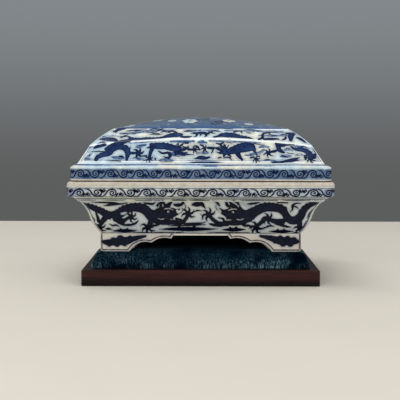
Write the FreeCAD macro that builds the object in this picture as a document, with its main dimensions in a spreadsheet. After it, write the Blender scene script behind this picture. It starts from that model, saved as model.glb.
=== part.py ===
import FreeCAD, Part
import math
import os
from types import SimpleNamespace

import Sketcher
from FreeCAD import Vector

# A porcelain box for an ink stone and an ink stick, with its domed cover, on a velvet-topped stand.
#
# Millimetres. +Z is up, X runs along the length and -Y is the front. The origin is the middle of the
# stand's underside, on the table. Each sub-part is modelled about its own seat and then placed on
# what carries it: the pad on the wooden frame, the box on the pad, the cover on the box's rim, and
# the ink stone and ink stick on the box's floor.

SIZES = {
    # box: a flared rectangular body on four bracket feet, one piece of porcelain
    "rim_length": 300.0,          # outside, left to right
    "rim_width": 200.0,           # outside, front to back
    "rim_corner": 9.0,            # plan radius of the rim's corners
    "body_height": 82.5,          # from the soles of the feet to the ledge that the cover sits on
    "band_height": 17.0,          # upright collar round the rim
    "band_round": 4.0,            # rounding of the collar's bare top edge
    "band_under": 1.6,            # bevel of the collar's lower edge
    "cove_height": 5.0,           # hollow moulding that carries the collar
    "cove_inset": 3.0,            # top of the cove, in from the rim
    "neck_inset": 11.0,           # bottom of the cove, in from the rim
    "waist_inset": 34.0,          # foot of the flared wall, in from the rim
    "waist_corner": 5.0,          # plan radius of the waist's corners
    "ogee": 0.42,                 # depth of the wall's double curve, where 0 is a straight wall
    "wall": 7.0,                  # thickness of the flared wall
    "floor_thickness": 8.0,       # floor of the box
    "lip_height": 5.0,            # inner lip that keeps the cover in place, above the ledge
    "lip_thickness": 3.7,         # inner lip
    # bracket feet and the scalloped aprons between them
    "foot_height": 21.0,          # from the soles to the waist
    "foot_thickness": 8.0,        # wall of the foot ring
    "leg_long": 33.0,             # flat sole at each end of a long side
    "leg_short": 24.0,            # flat sole at each end of a short side
    "scallop_long": 55.0,         # reach of the scallops along a long side
    "scallop_short": 27.0,        # reach of the scallops along a short side
    "apron_depth": 0.8,           # porcelain left under the waist between the scallops
    # partition between the stone's bay and the stick's bay
    "partition_place": 55.0,      # its middle, right of the box's middle
    "partition_thickness": 6.0,
    "partition_height": 26.0,     # above the floor
    # cover
    "cover_setback": 3.5,         # cover's edge, in from the rim of the box
    "cover_corner": 8.5,          # plan radius of the cover's corners
    "cover_wall": 5.5,            # thickness of its upright edge
    "cover_roof": 5.5,            # thickness of the dome, measured upwards
    "ceiling_inset": 1.5,         # foot of the hollow under the dome, further in than the dome's own
    "cover_play": 0.8,            # gap between the cover and the box's inner lip
    "cover_band": 16.5,           # upright edge of the cover
    "ledge_inset": 8.0,           # foot of the dome, in from the cover's edge
    "ledge_rise": 3.5,            # foot of the dome, above the upright edge
    "shoulder_inset": 20.5,       # crease between the dome's steep and shallow slopes
    "shoulder_height": 40.0,      # that crease at the corners, above the cover's seat
    "shoulder_rise": 8.5,         # how much higher it stands at the middle of a long side
    "panel_inset": 46.0,          # edge of the top panel, in from the cover's edge
    "panel_height": 59.0,         # that edge at the corners, above the cover's seat
    "panel_rise": 3.0,            # how much higher it stands at the middle of a long side
    "slope_bulge": 3.0,           # pull of the slope between shoulder and panel, which swells by half
    "cover_height": 72.0,         # crown of the dome, above the cover's seat
    # stand: four mitred rails round a panel
    "stand_length": 271.0,
    "stand_width": 178.0,
    "stand_thickness": 18.0,
    "stand_corner": 3.0,          # rounding of the upright corners
    "stand_arris": 1.0,           # bevel of the top edge
    "rail_width": 40.0,
    "groove_depth": 6.0,          # groove in the rails for the panel's edges
    "panel_thickness": 6.0,
    "panel_place": 6.0,           # panel's underside, above the table
    "panel_play": 0.15,           # ease of the panel in its groove, each way
    "tongue_length": 26.0,        # loose tongue across each mitre, along the joint
    "tongue_width": 18.0,         # across the joint
    "tongue_thickness": 3.0,
    "tongue_place": 13.0,         # its middle, above the table
    "tongue_play": 0.1,
    # pad: board and wadding wrapped in velvet
    "pad_margin": 12.0,           # wood left bare in front of the pad and behind it
    "pad_end_margin": 9.5,        # wood left bare at its ends
    "pad_thickness": 18.5,
    "pad_corner": 6.0,            # plan radius of the pad's corners
    "pad_edge": 4.0,              # rounding of the pad's top edge
    "inside_bevel": 1.8,          # bevel of the wadding's top edge, and of the cloth's inside there
    "velvet": 1.4,                # cloth with its pile
    "hem_thickness": 0.8,         # cloth turned under the board
    "hem_width": 14.0,
    "board_thickness": 5.0,       # stiff board inside the pad
    "pad_play": 0.1,              # ease between the cloth and what it wraps
    # square wooden pegs that hold the pad to the long rails from below
    "peg_inset": 18.0,            # in from the pad's edge
    "peg_spacing": 150.0,         # between the two pegs of a rail
    "peg_side": 5.0,
    "peg_setback": 0.5,           # its foot, up from the stand's underside
    "peg_bite": 3.8,              # length of the peg in the board
    "peg_play": 0.05,             # ease of the peg in its hole, each way
    # ink stone
    "stone_length": 146.0,
    "stone_width": 98.0,
    "stone_height": 20.0,
    "stone_corner": 7.0,          # plan radius of its corners
    "stone_rim": 6.5,             # raised border round the grinding face
    "stone_recess": 2.5,          # grinding face, below the border
    "stone_bevel": 1.4,           # bevel of the border's outer edge
    "stone_pool": 4.0,            # plan radius inside the border
    "well_length": 38.0,          # ink well at one end, with its slope
    "well_flat": 14.0,            # flat bottom of the well
    "well_depth": 10.0,           # below the border
    "well_margin": 3.0,           # grinding face left between the well and the border
    "stone_place": 30.0,          # middle of the stone, left of the box's middle
    # ink stick
    "stick_length": 102.0,
    "stick_width": 25.0,
    "stick_height": 11.0,
    "stick_corner": 4.0,          # plan radius of its corners
    "stick_border": 3.0,          # raised border round each face
    "stick_recess": 0.7,          # panel inside that border
    "stick_panel": 2.0,           # plan radius of that panel
    "stick_worn": 4.0,            # how far grinding has worn one end back
    "stick_place": 86.0,          # middle of the stick, right of the box's middle
}

doc = FreeCAD.newDocument("InkBox")
sheet = doc.addObject("Spreadsheet::Sheet", "Sizes")
for row, (name, number) in enumerate(SIZES.items(), start=1):
    sheet.set(f"A{row}", name.replace("_", " "))
    sheet.set(f"B{row}", str(number))
    sheet.setAlias(f"B{row}", name)
doc.recompute()


class Size:
    """A length as an expression of the sheet's cells, with the number that it comes to."""

    def __init__(self, text, number):
        self.text = text
        self.number = number

    def join(self, sign, other, number):
        text = other.text if isinstance(other, Size) else repr(other)
        return Size(f"({self.text} {sign} {text})", number)

    def __add__(self, other):
        return self.join("+", other, self.number + plain(other))

    def __sub__(self, other):
        return self.join("-", other, self.number - plain(other))

    def __mul__(self, other):
        return self.join("*", other, self.number * plain(other))

    def __truediv__(self, other):
        return self.join("/", other, self.number / plain(other))

    def __neg__(self):
        return Size(f"(-1 * {self.text})", -self.number)

    def root(self):
        return Size(f"sqrt({self.text})", math.sqrt(self.number))


def plain(length):
    return length.number if isinstance(length, Size) else length


S = SimpleNamespace(**{name: Size(f"Sizes.{name}", number) for name, number in SIZES.items()})
ZERO = Size("0", 0.0)


def bind(thing, prop, length):
    thing.setExpression(prop, length.text)


# ---------------------------------------------------------------- sketches
def new_sketch(body, name, role="XY_Plane", offset=ZERO):
    sketch = body.newObject("Sketcher::SketchObject", name)
    plane = next(f for f in body.Origin.OriginFeatures if f.Role == role)
    sketch.AttachmentSupport = [(plane, "")]
    sketch.MapMode = "FlatFace"
    bind(sketch, "AttachmentOffset.Base.z", offset)
    return sketch


def rectangle(body, name, length, width, corner, offset=ZERO):
    """A rectangle with round corners about the body's Z axis: four arcs joined by four lines."""
    sketch = new_sketch(body, name, offset=offset)
    a, b, r = length.number / 2, width.number / 2, corner.number
    arcs = []
    for quarter, (x, y) in enumerate([(1, 1), (-1, 1), (-1, -1), (1, -1)]):
        circle = Part.Circle(Vector(x * (a - r), y * (b - r), 0), Vector(0, 0, 1), r)
        start = quarter * math.pi / 2
        arcs.append(sketch.addGeometry(Part.ArcOfCircle(circle, start, start + math.pi / 2), False))
    lines = []
    for arc, following in zip(arcs, arcs[1:] + arcs[:1]):
        side = Part.LineSegment(sketch.getPoint(arc, 2), sketch.getPoint(following, 1))
        lines.append(sketch.addGeometry(side, False))
    rule = Sketcher.Constraint
    for i, (arc, line) in enumerate(zip(arcs, lines)):
        sketch.addConstraint(rule("Tangent", arc, 2, line, 1))
        sketch.addConstraint(rule("Tangent", line, 2, arcs[(i + 1) % 4], 1))
        sketch.addConstraint(rule("Vertical" if i % 2 else "Horizontal", line))
        if i:
            sketch.addConstraint(rule("Equal", arcs[0], arc))
    sketch.addConstraint(rule("Symmetric", lines[0], 1, lines[2], 1, -1, 1))
    sizes = [
        (rule("Radius", arcs[0], r), corner),
        (rule("DistanceX", lines[1], 1, lines[3], 1, 2 * a), length),
        (rule("DistanceY", lines[2], 1, lines[0], 1, 2 * b), width),
    ]
    for constraint, bound in sizes:
        bind(sketch, f"Constraints[{sketch.addConstraint(constraint)}]", bound)
    return sketch


def outline(body, name, points, bulges, role, offset=ZERO):
    """A closed outline through points, each a pair (across, up) of sizes.

    bulges[i] is the rise of the arc from point i to the next, as a share of its chord: 0 is a line,
    and a positive arc swells to the left of the way the outline runs.
    """
    sketch = new_sketch(body, name, role, offset)
    rule = Sketcher.Constraint
    corners = [Vector(x.number, y.number, 0) for x, y in points]
    edges = []
    for i, bulge in enumerate(bulges):
        start, end = corners[i], corners[(i + 1) % len(corners)]
        if not bulge:
            edges.append((sketch.addGeometry(Part.LineSegment(start, end), False), 1, 2))
            continue
        swell = Vector(start.y - end.y, end.x - start.x, 0) * bulge
        index = sketch.addGeometry(Part.Arc(start, (start + end) * 0.5 + swell, end), False)
        forward = sketch.getPoint(index, 1).distanceToPoint(start) < 1e-6
        edges.append((index, 1, 2) if forward else (index, 2, 1))
    for one, two in zip(edges, edges[1:] + edges[:1]):
        sketch.addConstraint(rule("Coincident", one[0], one[2], two[0], two[1]))
    for (x, y), (index, start, _) in zip(points, edges):
        for kind, place, axis in (("DistanceX", x, -2), ("DistanceY", y, -1)):
            if abs(place.number) < 1e-9:
                sketch.addConstraint(rule("PointOnObject", index, start, axis))
                continue
            ends = (-1, 1, index, start) if place.number > 0 else (index, start, -1, 1)
            at = sketch.addConstraint(rule(kind, *ends, abs(place.number)))
            bind(sketch, f"Constraints[{at}]", place if place.number > 0 else -place)
    for i, bulge in enumerate(bulges):
        if bulge:
            (x1, y1), (x2, y2) = points[i], points[(i + 1) % len(points)]
            chord = ((x2 - x1) * (x2 - x1) + (y2 - y1) * (y2 - y1)).root()
            radius = chord * ((0.25 + bulge * bulge) / (2 * abs(bulge)))
            at = sketch.addConstraint(rule("Radius", edges[i][0], radius.number))
            bind(sketch, f"Constraints[{at}]", radius)
    return sketch


def both_halves(points, bulges):
    """Completes the right half of an outline, listed upwards, with its mirror image."""
    left = [(-x, y) for x, y in reversed(points)]
    return points + left, bulges + [0] + list(reversed(bulges)) + [0]


# ---------------------------------------------------------------- features
def new_body(name):
    body = doc.addObject("PartDesign::Body", name)
    body.Label = name
    return body


def feature(body, kind, name, sketch, **settings):
    made = body.newObject(f"PartDesign::{kind}", name)
    made.Profile = (sketch, [""])
    for prop, setting in settings.items():
        if isinstance(setting, Size):
            bind(made, prop, setting)
        else:
            setattr(made, prop, setting)
    sketch.Visibility = False
    doc.recompute()
    return made


def pad(body, name, sketch, length, midplane=False):
    return feature(body, "Pad", name, sketch, Midplane=midplane, Length=length)


def pocket(body, name, sketch, length, midplane=False, reverse=False):
    """Cuts a sketch out of the body, and stops if nothing was cut."""
    before = body.Shape.Volume
    made = feature(body, "Pocket", name, sketch, Midplane=midplane, Reversed=reverse, Length=length)
    check_cut(body, name, before)
    return made


def loft(body, name, sketches, cut=False, ruled=False):
    """A loft through sketches, added to the body or cut from it."""
    before = body.Shape.Volume if cut else 0.0
    sections = [(sketch, [""]) for sketch in sketches[1:]]
    kind = "SubtractiveLoft" if cut else "AdditiveLoft"
    made = feature(body, kind, name, sketches[0], Sections=sections, Ruled=ruled)
    if cut:
        check_cut(body, name, before)
    return made


def check_cut(body, name, before):
    if not body.Shape.Volume < before - 1e-6:
        raise RuntimeError(f"{name} cuts nothing: {body.Tip.State}")


def fillet(body, name, test, radius):
    """Rounds the edges whose points all pass a test."""
    return dress(body, "Fillet", name, test, Radius=radius)


def chamfer(body, name, test, size):
    """Bevels the edges whose points all pass a test."""
    return dress(body, "Chamfer", name, test, Size=size)


def dress(body, kind, name, test, **sizes):
    base = body.Tip
    names = []
    for number, edge in enumerate(base.Shape.Edges, start=1):
        first, last = edge.FirstParameter, edge.LastParameter
        if all(test(edge.valueAt(first + (last - first) * share)) for share in (0.0, 0.37, 1.0)):
            names.append(f"Edge{number}")
    if not names:
        raise RuntimeError(f"{name} finds no edge")
    made = body.newObject(f"PartDesign::{kind}", name)
    made.Base = (base, names)
    for prop, size in sizes.items():
        bind(made, prop, size)
    doc.recompute()
    return made


def at_height(height):
    return lambda point: abs(point.z - height.number) < 1e-4


def place(part, height, along=ZERO):
    bind(part, "Placement.Base.z", height)
    bind(part, "Placement.Base.x", along)


# ---------------------------------------------------------------- box
WALL_SECTIONS = 8
pad_top = S.stand_thickness + S.pad_thickness
floor_top = S.foot_height + S.floor_thickness
neck_height = S.body_height - S.band_height - S.cove_height
band_foot = S.body_height - S.band_height
lip_inset = S.cover_setback + S.cover_wall + S.cover_play


def wall_inset(share):
    """How far the flared wall stands in from the rim, at a share of the way from waist to neck."""
    swing = math.sin(2 * math.pi * share) / (2 * math.pi)
    return S.waist_inset - (S.waist_inset - S.neck_inset) * (S.ogee * swing + share)


def wall_height(share):
    return S.foot_height + (neck_height - S.foot_height) * share


def wall_corner(share):
    return S.waist_corner + (S.rim_corner - S.waist_corner) * share


def ring(body, name, inset, height, corner):
    """The plan of the box at a height, a given distance in from the rim."""
    return rectangle(body, name, S.rim_length - inset * 2, S.rim_width - inset * 2, corner, height)


def apron(body, name, half, leg, reach, role):
    """The opening under a side: three arcs that meet in points, from a foot up to the waist."""
    foot = half - leg
    points = [
        (foot, ZERO),
        (foot - reach * 0.47, S.foot_height * 0.49),
        (foot - reach * 0.89, S.foot_height * 0.7),
        (foot - reach, S.foot_height - S.apron_depth),
    ]
    return outline(body, name, *both_halves(points, [-0.18, -0.13, -0.2]), role)


def make_box():
    body = new_body("box_body")
    shares = [i / (WALL_SECTIONS - 1) for i in range(WALL_SECTIONS)]
    loft(body, "flared_wall", [
        ring(body, f"wall_{i}", wall_inset(share), wall_height(share), wall_corner(share))
        for i, share in enumerate(shares)
    ], ruled=True)
    cove = [(0.0, 0.0), (0.3, 0.62), (1.0, 1.0)]   # shares of the way out and up
    loft(body, "cove", [
        ring(body, f"cove_{i}", S.neck_inset - (S.neck_inset - S.cove_inset) * run,
             neck_height + S.cove_height * rise, S.rim_corner)
        for i, (run, rise) in enumerate(cove)
    ], ruled=True)
    pad(body, "collar", ring(body, "collar_plan", ZERO, band_foot, S.rim_corner), S.band_height)
    pad(body, "foot_ring", ring(body, "foot_plan", S.waist_inset, ZERO, S.waist_corner), S.foot_height)
    fillet(body, "collar_top", at_height(S.body_height), S.band_round)
    low = at_height(band_foot)
    outer_x = (S.rim_length / 2 - S.cove_inset / 2).number
    outer_y = (S.rim_width / 2 - S.cove_inset / 2).number
    inner_x, inner_y = outer_x - S.rim_corner.number, outer_y - S.rim_corner.number

    def on_collar(point):
        past = abs(point.x) > outer_x or abs(point.y) > outer_y
        return low(point) and (past or (abs(point.x) > inner_x and abs(point.y) > inner_y))

    chamfer(body, "collar_foot", on_collar, S.band_under)
    lip = ring(body, "lip_plan", lip_inset, S.body_height - S.band_round, S.rim_corner - 2)
    pad(body, "lip", lip, S.lip_height + S.band_round)

    # hollow: the flared wall's own curve, one wall thickness in, then straight up through the lip
    mouth_inset = lip_inset + S.lip_thickness
    mouth_height = band_foot + S.band_height / 2
    levels = [0.2, 0.4, 0.6, 0.8, 1.0]
    hollow = [
        ring(body, f"hollow_{i}", wall_inset(share) + S.wall,
             wall_height(share) if i else floor_top, wall_corner(share) - 1)
        for i, share in enumerate(levels)
    ]
    hollow.append(ring(body, "hollow_mouth", mouth_inset, mouth_height, S.rim_corner - 2))
    loft(body, "hollow", hollow, cut=True, ruled=True)
    mouth = ring(body, "mouth_plan", mouth_inset, mouth_height, S.rim_corner - 2)
    pocket(body, "mouth", mouth, S.band_height + S.lip_height, reverse=True)

    # foot ring, and the aprons between the feet
    under = ring(body, "under_plan", S.waist_inset + S.foot_thickness, ZERO, S.waist_corner)
    pocket(body, "under_box", under, S.foot_height, reverse=True)
    long_half = S.rim_length / 2 - S.waist_inset
    short_half = S.rim_width / 2 - S.waist_inset
    front = apron(body, "front_apron", long_half, S.leg_long, S.scallop_long, "XZ_Plane")
    pocket(body, "front_scallops", front, S.rim_width, midplane=True)
    ends = apron(body, "end_apron", short_half, S.leg_short, S.scallop_short, "YZ_Plane")
    pocket(body, "end_scallops", ends, S.rim_length, midplane=True)

    # partition from wall to wall, between the two bays
    points = [
        (S.rim_width / 2 - wall_inset(0.2) - S.wall / 2, floor_top - S.floor_thickness / 2),
        (S.rim_width / 2 - wall_inset(0.7) - S.wall / 2, floor_top + S.partition_height),
    ]
    screen = outline(body, "partition_outline", *both_halves(points, [0]), "YZ_Plane", S.partition_place)
    pad(body, "partition", screen, S.partition_thickness, midplane=True)
    place(body, pad_top)
    return body


# ---------------------------------------------------------------- cover
def crease_poles(inset, height, rise, turn):
    """Poles of one side's crease: level at its ends and arched to a rise at its middle.

    turn 0 to 3 goes round the four sides. A short side is arched less, as the square of its length.
    """
    half_x = (S.rim_length / 2 - S.cover_setback - inset).number
    half_y = (S.rim_width / 2 - S.cover_setback - inset).number
    corners = [(-half_x, -half_y), (half_x, -half_y), (half_x, half_y), (-half_x, half_y)]
    start, end = corners[turn], corners[(turn + 1) % 4]
    arch = rise.number * (1 if turn % 2 == 0 else (half_y / half_x) ** 2)
    middle = ((start[0] + end[0]) / 2, (start[1] + end[1]) / 2)
    level = height.number
    return [Vector(*start, level), Vector(*middle, level + 2 * arch), Vector(*end, level)]


def bezier_face(rows):
    surface = Part.BezierSurface()
    surface.increase(max(len(rows) - 1, 1), len(rows[0]) - 1)
    for u, row in enumerate(rows, start=1):
        for v, pole in enumerate(row, start=1):
            surface.setPole(u, v, pole)
    return surface.toShape()


def flat_face(*corners):
    return Part.Face(Part.makePolygon([*corners, corners[0]]))


def dome(drop, foot, foot_height, arched=True):
    """A closed dome: a steep and a shallow slope on each side, under a crowned top panel.

    drop lowers the whole dome, and foot is the inset of its lowest edge, at foot_height above the seat.
    Where it is arched, its creases rise to their middles and its shallow slopes swell; otherwise all
    its slopes are flat.
    """
    rise = 1 if arched else 0
    creases = [
        (foot, foot_height, ZERO),
        (S.shoulder_inset, S.shoulder_height - drop, S.shoulder_rise * rise),
        (S.panel_inset, S.panel_height - drop, S.panel_rise * rise),
    ]
    faces = []
    for turn in range(4):
        low, middle, high = (crease_poles(*crease, turn) for crease in creases)
        if arched:
            swell = Vector(0, 0, S.slope_bulge.number)
            belly = [(one + two) * 0.5 + swell for one, two in zip(middle, high)]
            faces += [bezier_face([low, middle]), bezier_face([middle, belly, high])]
        else:
            faces += [flat_face(lower[0], lower[2], upper[2], upper[0])
                      for lower, upper in ((low, middle), (middle, high))]
    front, right, back, _ = (crease_poles(*creases[2], turn) for turn in range(4))
    crown = (S.cover_height - drop).number
    level = creases[2][1].number
    # the top's middle pole: a 3 x 3 patch reaches a quarter of that pole, and the rest from its edges
    edges = front[1].z + back[1].z + 2 * right[1].z
    centre = Vector(0, 0, 4 * crown - level - edges / 2)
    left = [back[2], Vector(-right[1].x, 0, right[1].z), front[0]]
    faces.append(bezier_face([
        [front[0], front[1], front[2]],
        [left[1], centre, right[1]],
        [back[2], back[1], back[0]],
    ]))
    faces.append(flat_face(*(crease_poles(*creases[0], turn)[0] for turn in range(4))))
    shell = Part.makeShell(faces)
    shell.sewShape()
    solid = Part.Solid(shell)
    if solid.Volume < 0:
        solid.reverse()
    return solid


def block(setback, corner, low, high):
    """An upright block with round corners, a given distance in from the box's rim."""
    a = (S.rim_length / 2 - setback).number
    b = (S.rim_width / 2 - setback).number
    solid = Part.makeBox(2 * a, 2 * b, (high - low).number, Vector(-a, -b, low.number))
    upright = [edge for edge in solid.Edges if abs(edge.tangentAt(edge.FirstParameter).z) > 0.9]
    return solid.makeFillet(corner.number, upright)


def plan(setback, corner, height):
    """The outline of such a block at a height."""
    solid = block(setback, corner, height, height + 1)
    return next(face for face in solid.Faces if face.normalAt(0, 0).z < -0.9).OuterWire


def make_cover():
    cover = doc.addObject("Part::Feature", "box_cover")
    cover.Label = "box_cover"
    ledge_top = S.cover_band + S.ledge_rise
    band = block(S.cover_setback, S.cover_corner, ZERO, S.cover_band)
    ledge = Part.makeLoft([
        plan(S.cover_setback, S.cover_corner, S.cover_band),
        plan(S.cover_setback + S.ledge_inset, S.cover_corner - S.ledge_inset, ledge_top),
    ], True, True)
    outside = band.fuse([ledge, dome(ZERO, S.ledge_inset, ledge_top)]).removeSplitter()
    rise_inside = ledge_top - S.cover_roof
    hollow = block(S.cover_setback + S.cover_wall, S.cover_corner - 2, -S.cover_band, rise_inside)
    ceiling = dome(S.cover_roof, S.ledge_inset + S.ceiling_inset, rise_inside, arched=False)
    cover.Shape = outside.cut(hollow.fuse(ceiling)).Solids[0]
    cover.Placement.Base = Vector(0, 0, (pad_top + S.body_height).number)
    return cover


# ---------------------------------------------------------------- stand
ARC_SHARE = 1 - math.sqrt(0.5)      # middle of a quarter arc, in from the corner, as a share of its radius
EIGHTH = -math.tan(math.radians(11.25)) / 2     # bulge of an eighth of a circle that swells outwards
panel_length = S.stand_length - (S.rail_width - S.groove_depth) * 2
panel_width = S.stand_width - (S.rail_width - S.groove_depth) * 2
pad_length = S.stand_length - S.pad_end_margin * 2
pad_width = S.stand_width - S.pad_margin * 2
peg_rows = pad_width / 2 - S.peg_inset


def box_outline(body, name, x, y, role="XY_Plane", offset=ZERO):
    """A plain rectangle between two values of x and two of y."""
    (left, right), (low, high) = x, y
    points = [(left, low), (right, low), (right, high), (left, high)]
    return outline(body, name, points, [0] * 4, role, offset)


def mitre_outline(body, name, half, across, side, offset):
    """The slot or tongue across the mitre at one end: a rectangle turned by half a right angle."""
    along = S.tongue_length / 2 + S.tongue_play
    wide = S.tongue_width / 2 + S.tongue_play
    x = (half - S.rail_width / 2) * side
    y = S.rail_width / 2 - across
    share = math.sqrt(0.5)
    corners = [(1, 1), (-1, 1), (-1, -1), (1, -1)]
    points = [
        (x + (wide * v - along * u) * (share * side), y + (along * u + wide * v) * share)
        for u, v in corners
    ]
    return outline(body, name, points, [0] * 4, "XY_Plane", offset)


def make_rail(name, length, width, turn):
    """A rail along the side of a frame of this length and width, then turned into its place."""
    body = new_body(name)
    half, across = length / 2, width / 2
    r = S.stand_corner
    points = [
        (half - r, -across),
        (half - r * ARC_SHARE, r * ARC_SHARE - across),
        (half - S.rail_width, S.rail_width - across),
    ]
    plan_sketch = outline(body, f"{name}_plan", *both_halves(points, [EIGHTH, 0]), "XY_Plane")
    pad(body, f"{name}_bar", plan_sketch, S.stand_thickness)
    top = at_height(S.stand_thickness)
    inner = (across - S.stand_corner * ARC_SHARE).number
    chamfer(body, f"{name}_arris", lambda p: top(p) and p.y < -inner + 1e-4, S.stand_arris)
    edge = S.rail_width - S.groove_depth - S.panel_play
    groove = box_outline(body, f"{name}_groove_plan", (edge - half, half - edge),
                         (edge - across, -across + S.rail_width * 2), offset=S.panel_place - S.panel_play)
    pocket(body, f"{name}_groove", groove, S.panel_thickness + S.panel_play * 2, reverse=True)
    low = S.tongue_place - S.tongue_thickness / 2 - S.tongue_play
    for side in (-1, 1):
        slot = mitre_outline(body, f"{name}_slot_plan_{side + 1}", half, across, side, low)
        pocket(body, f"{name}_slot_{side + 1}", slot, S.tongue_thickness + S.tongue_play * 2, reverse=True)
    if turn % 2 == 0:
        for side in (-1, 1):
            peg_hole(body, side, -1, ZERO, S.stand_thickness)
    body.Placement.Rotation = FreeCAD.Rotation(Vector(0, 0, 1), 90 * turn)
    return body


def peg_hole(body, side_x, side_y, height, depth):
    """A square hole for a peg, cut upwards from a height: the sides are the signs of its x and y."""
    name = f"{body.Name}_hole_{side_x + 1}{side_y + 1}"
    half = S.peg_side / 2 + S.peg_play
    x, y = S.peg_spacing / 2 * side_x, peg_rows * side_y
    square = box_outline(body, f"{name}_plan", (x - half, x + half), (y - half, y + half), offset=height)
    pocket(body, name, square, depth, reverse=True)


def make_panel():
    body = new_body("stand_panel")
    x, y = panel_length / 2, panel_width / 2
    plan_sketch = box_outline(body, "panel_plan", (-x, x), (-y, y))
    pad(body, "panel", plan_sketch, S.panel_thickness)
    place(body, S.panel_place)
    return body


def group(name, members):
    """Separate solids of one kind, kept as one sub-part."""
    compound = doc.addObject("Part::Compound", name)
    compound.Label = name
    compound.Links = members
    return compound


def make_tongues():
    tongues = []
    for x, y in [(1, 1), (-1, 1), (-1, -1), (1, -1)]:
        tongue = doc.addObject("Part::Box", "tongue")
        bind(tongue, "Length", S.tongue_length)
        bind(tongue, "Width", S.tongue_width)
        bind(tongue, "Height", S.tongue_thickness)
        angle = 45 if x * y > 0 else -45
        middle = Vector((S.stand_length - S.rail_width).number / 2 * x,
                        (S.stand_width - S.rail_width).number / 2 * y, S.tongue_place.number)
        turned = FreeCAD.Rotation(Vector(0, 0, 1), angle)
        corner = Vector(-S.tongue_length.number, -S.tongue_width.number, -S.tongue_thickness.number) * 0.5
        tongue.Placement = FreeCAD.Placement(middle + turned.multVec(corner), turned)
        tongues.append(tongue)
    return group("mitre_tongues", tongues)


# ---------------------------------------------------------------- pad
FOUR_PEGS = [(1, 1), (-1, 1), (-1, -1), (1, -1)]
board_inset = S.velvet + S.pad_play
board_length = pad_length - board_inset * 2
board_width = pad_width - board_inset * 2
board_corner = S.pad_corner - board_inset


def make_velvet():
    body = new_body("velvet_cover")
    pad(body, "velvet_block", rectangle(body, "velvet_plan", pad_length, pad_width, S.pad_corner),
        S.pad_thickness)
    fillet(body, "velvet_edge", at_height(S.pad_thickness), S.pad_edge)
    length, width = pad_length - S.velvet * 2, pad_width - S.velvet * 2
    inside = rectangle(body, "inside_plan", length, width, S.pad_corner - S.velvet, S.hem_thickness)
    depth = S.pad_thickness - S.velvet - S.hem_thickness
    pocket(body, "inside", inside, depth, reverse=True)
    chamfer(body, "inside_edge", at_height(S.pad_thickness - S.velvet), S.inside_bevel)
    opening = rectangle(body, "hem_plan", pad_length - S.hem_width * 2, pad_width - S.hem_width * 2,
                        S.pad_corner)
    pocket(body, "hem", opening, S.hem_thickness, reverse=True)
    place(body, S.stand_thickness)
    return body


def make_wadding():
    body = new_body("pad_wadding")
    bottom = S.hem_thickness + S.board_thickness
    outside = rectangle(body, "wadding_plan", board_length, board_width, board_corner, bottom)
    depth = S.pad_thickness - board_inset - bottom
    pad(body, "wadding", outside, depth)
    chamfer(body, "wadding_edge", at_height(S.pad_thickness - board_inset), S.inside_bevel)
    place(body, S.stand_thickness)
    return body


def make_board():
    body = new_body("pad_board")
    outside = rectangle(body, "board_plan", board_length, board_width, board_corner, S.hem_thickness)
    pad(body, "board", outside, S.board_thickness)
    for side_x, side_y in FOUR_PEGS:
        peg_hole(body, side_x, side_y, S.hem_thickness, S.peg_bite + S.peg_play)
    place(body, S.stand_thickness)
    return body


def make_pegs():
    pegs = []
    tip = S.stand_thickness + S.hem_thickness + S.peg_bite
    for side_x, side_y in FOUR_PEGS:
        peg = doc.addObject("Part::Box", "peg")
        bind(peg, "Length", S.peg_side)
        bind(peg, "Width", S.peg_side)
        bind(peg, "Height", tip - S.peg_setback)
        bind(peg, "Placement.Base.x", S.peg_spacing / 2 * side_x - S.peg_side / 2)
        bind(peg, "Placement.Base.y", peg_rows * side_y - S.peg_side / 2)
        bind(peg, "Placement.Base.z", S.peg_setback)
        pegs.append(peg)
    return group("pad_pegs", pegs)


# ---------------------------------------------------------------- ink stone and ink stick
def make_stone():
    body = new_body("ink_stone")
    pad(body, "slab", rectangle(body, "slab_plan", S.stone_length, S.stone_width, S.stone_corner),
        S.stone_height)
    chamfer(body, "slab_edge", at_height(S.stone_height), S.stone_bevel)
    inner_length, inner_width = S.stone_length - S.stone_rim * 2, S.stone_width - S.stone_rim * 2
    face = rectangle(body, "face_plan", inner_length, inner_width, S.stone_pool, S.stone_height)
    pocket(body, "grinding_face", face, S.stone_recess)
    end = inner_length / 2 - S.well_margin
    deep, shallow = S.stone_height - S.well_depth, S.stone_height - S.stone_recess
    points = [
        (-end, deep),
        (S.well_flat - end, deep),
        (S.well_length - end, shallow),
        (S.well_length - end, S.stone_height),
        (-end, S.stone_height),
    ]
    well = outline(body, "well_side", points, [0] * 5, "XZ_Plane")
    pocket(body, "well", well, inner_width - S.well_margin * 2, midplane=True)
    place(body, pad_top + floor_top, -S.stone_place)
    return body


def make_stick():
    body = new_body("ink_stick")
    pad(body, "bar", rectangle(body, "bar_plan", S.stick_width, S.stick_length, S.stick_corner),
        S.stick_height)
    inner_width, inner_length = S.stick_width - S.stick_border * 2, S.stick_length - S.stick_border * 2
    for name, height, up in (("upper", S.stick_height, False), ("lower", ZERO, True)):
        face = rectangle(body, f"{name}_plan", inner_width, inner_length, S.stick_panel, height)
        pocket(body, f"{name}_panel", face, S.stick_recess, reverse=up)
    end = S.stick_length / 2
    points = [
        (end - S.stick_worn, S.stick_height),
        (end, ZERO),
        (end + S.stick_worn, ZERO),
        (end + S.stick_worn, S.stick_height),
    ]
    worn = outline(body, "worn_side", points, [0] * 4, "YZ_Plane")
    pocket(body, "worn_end", worn, S.stick_width, midplane=True)
    place(body, pad_top + floor_top, S.stick_place)
    return body


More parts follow.
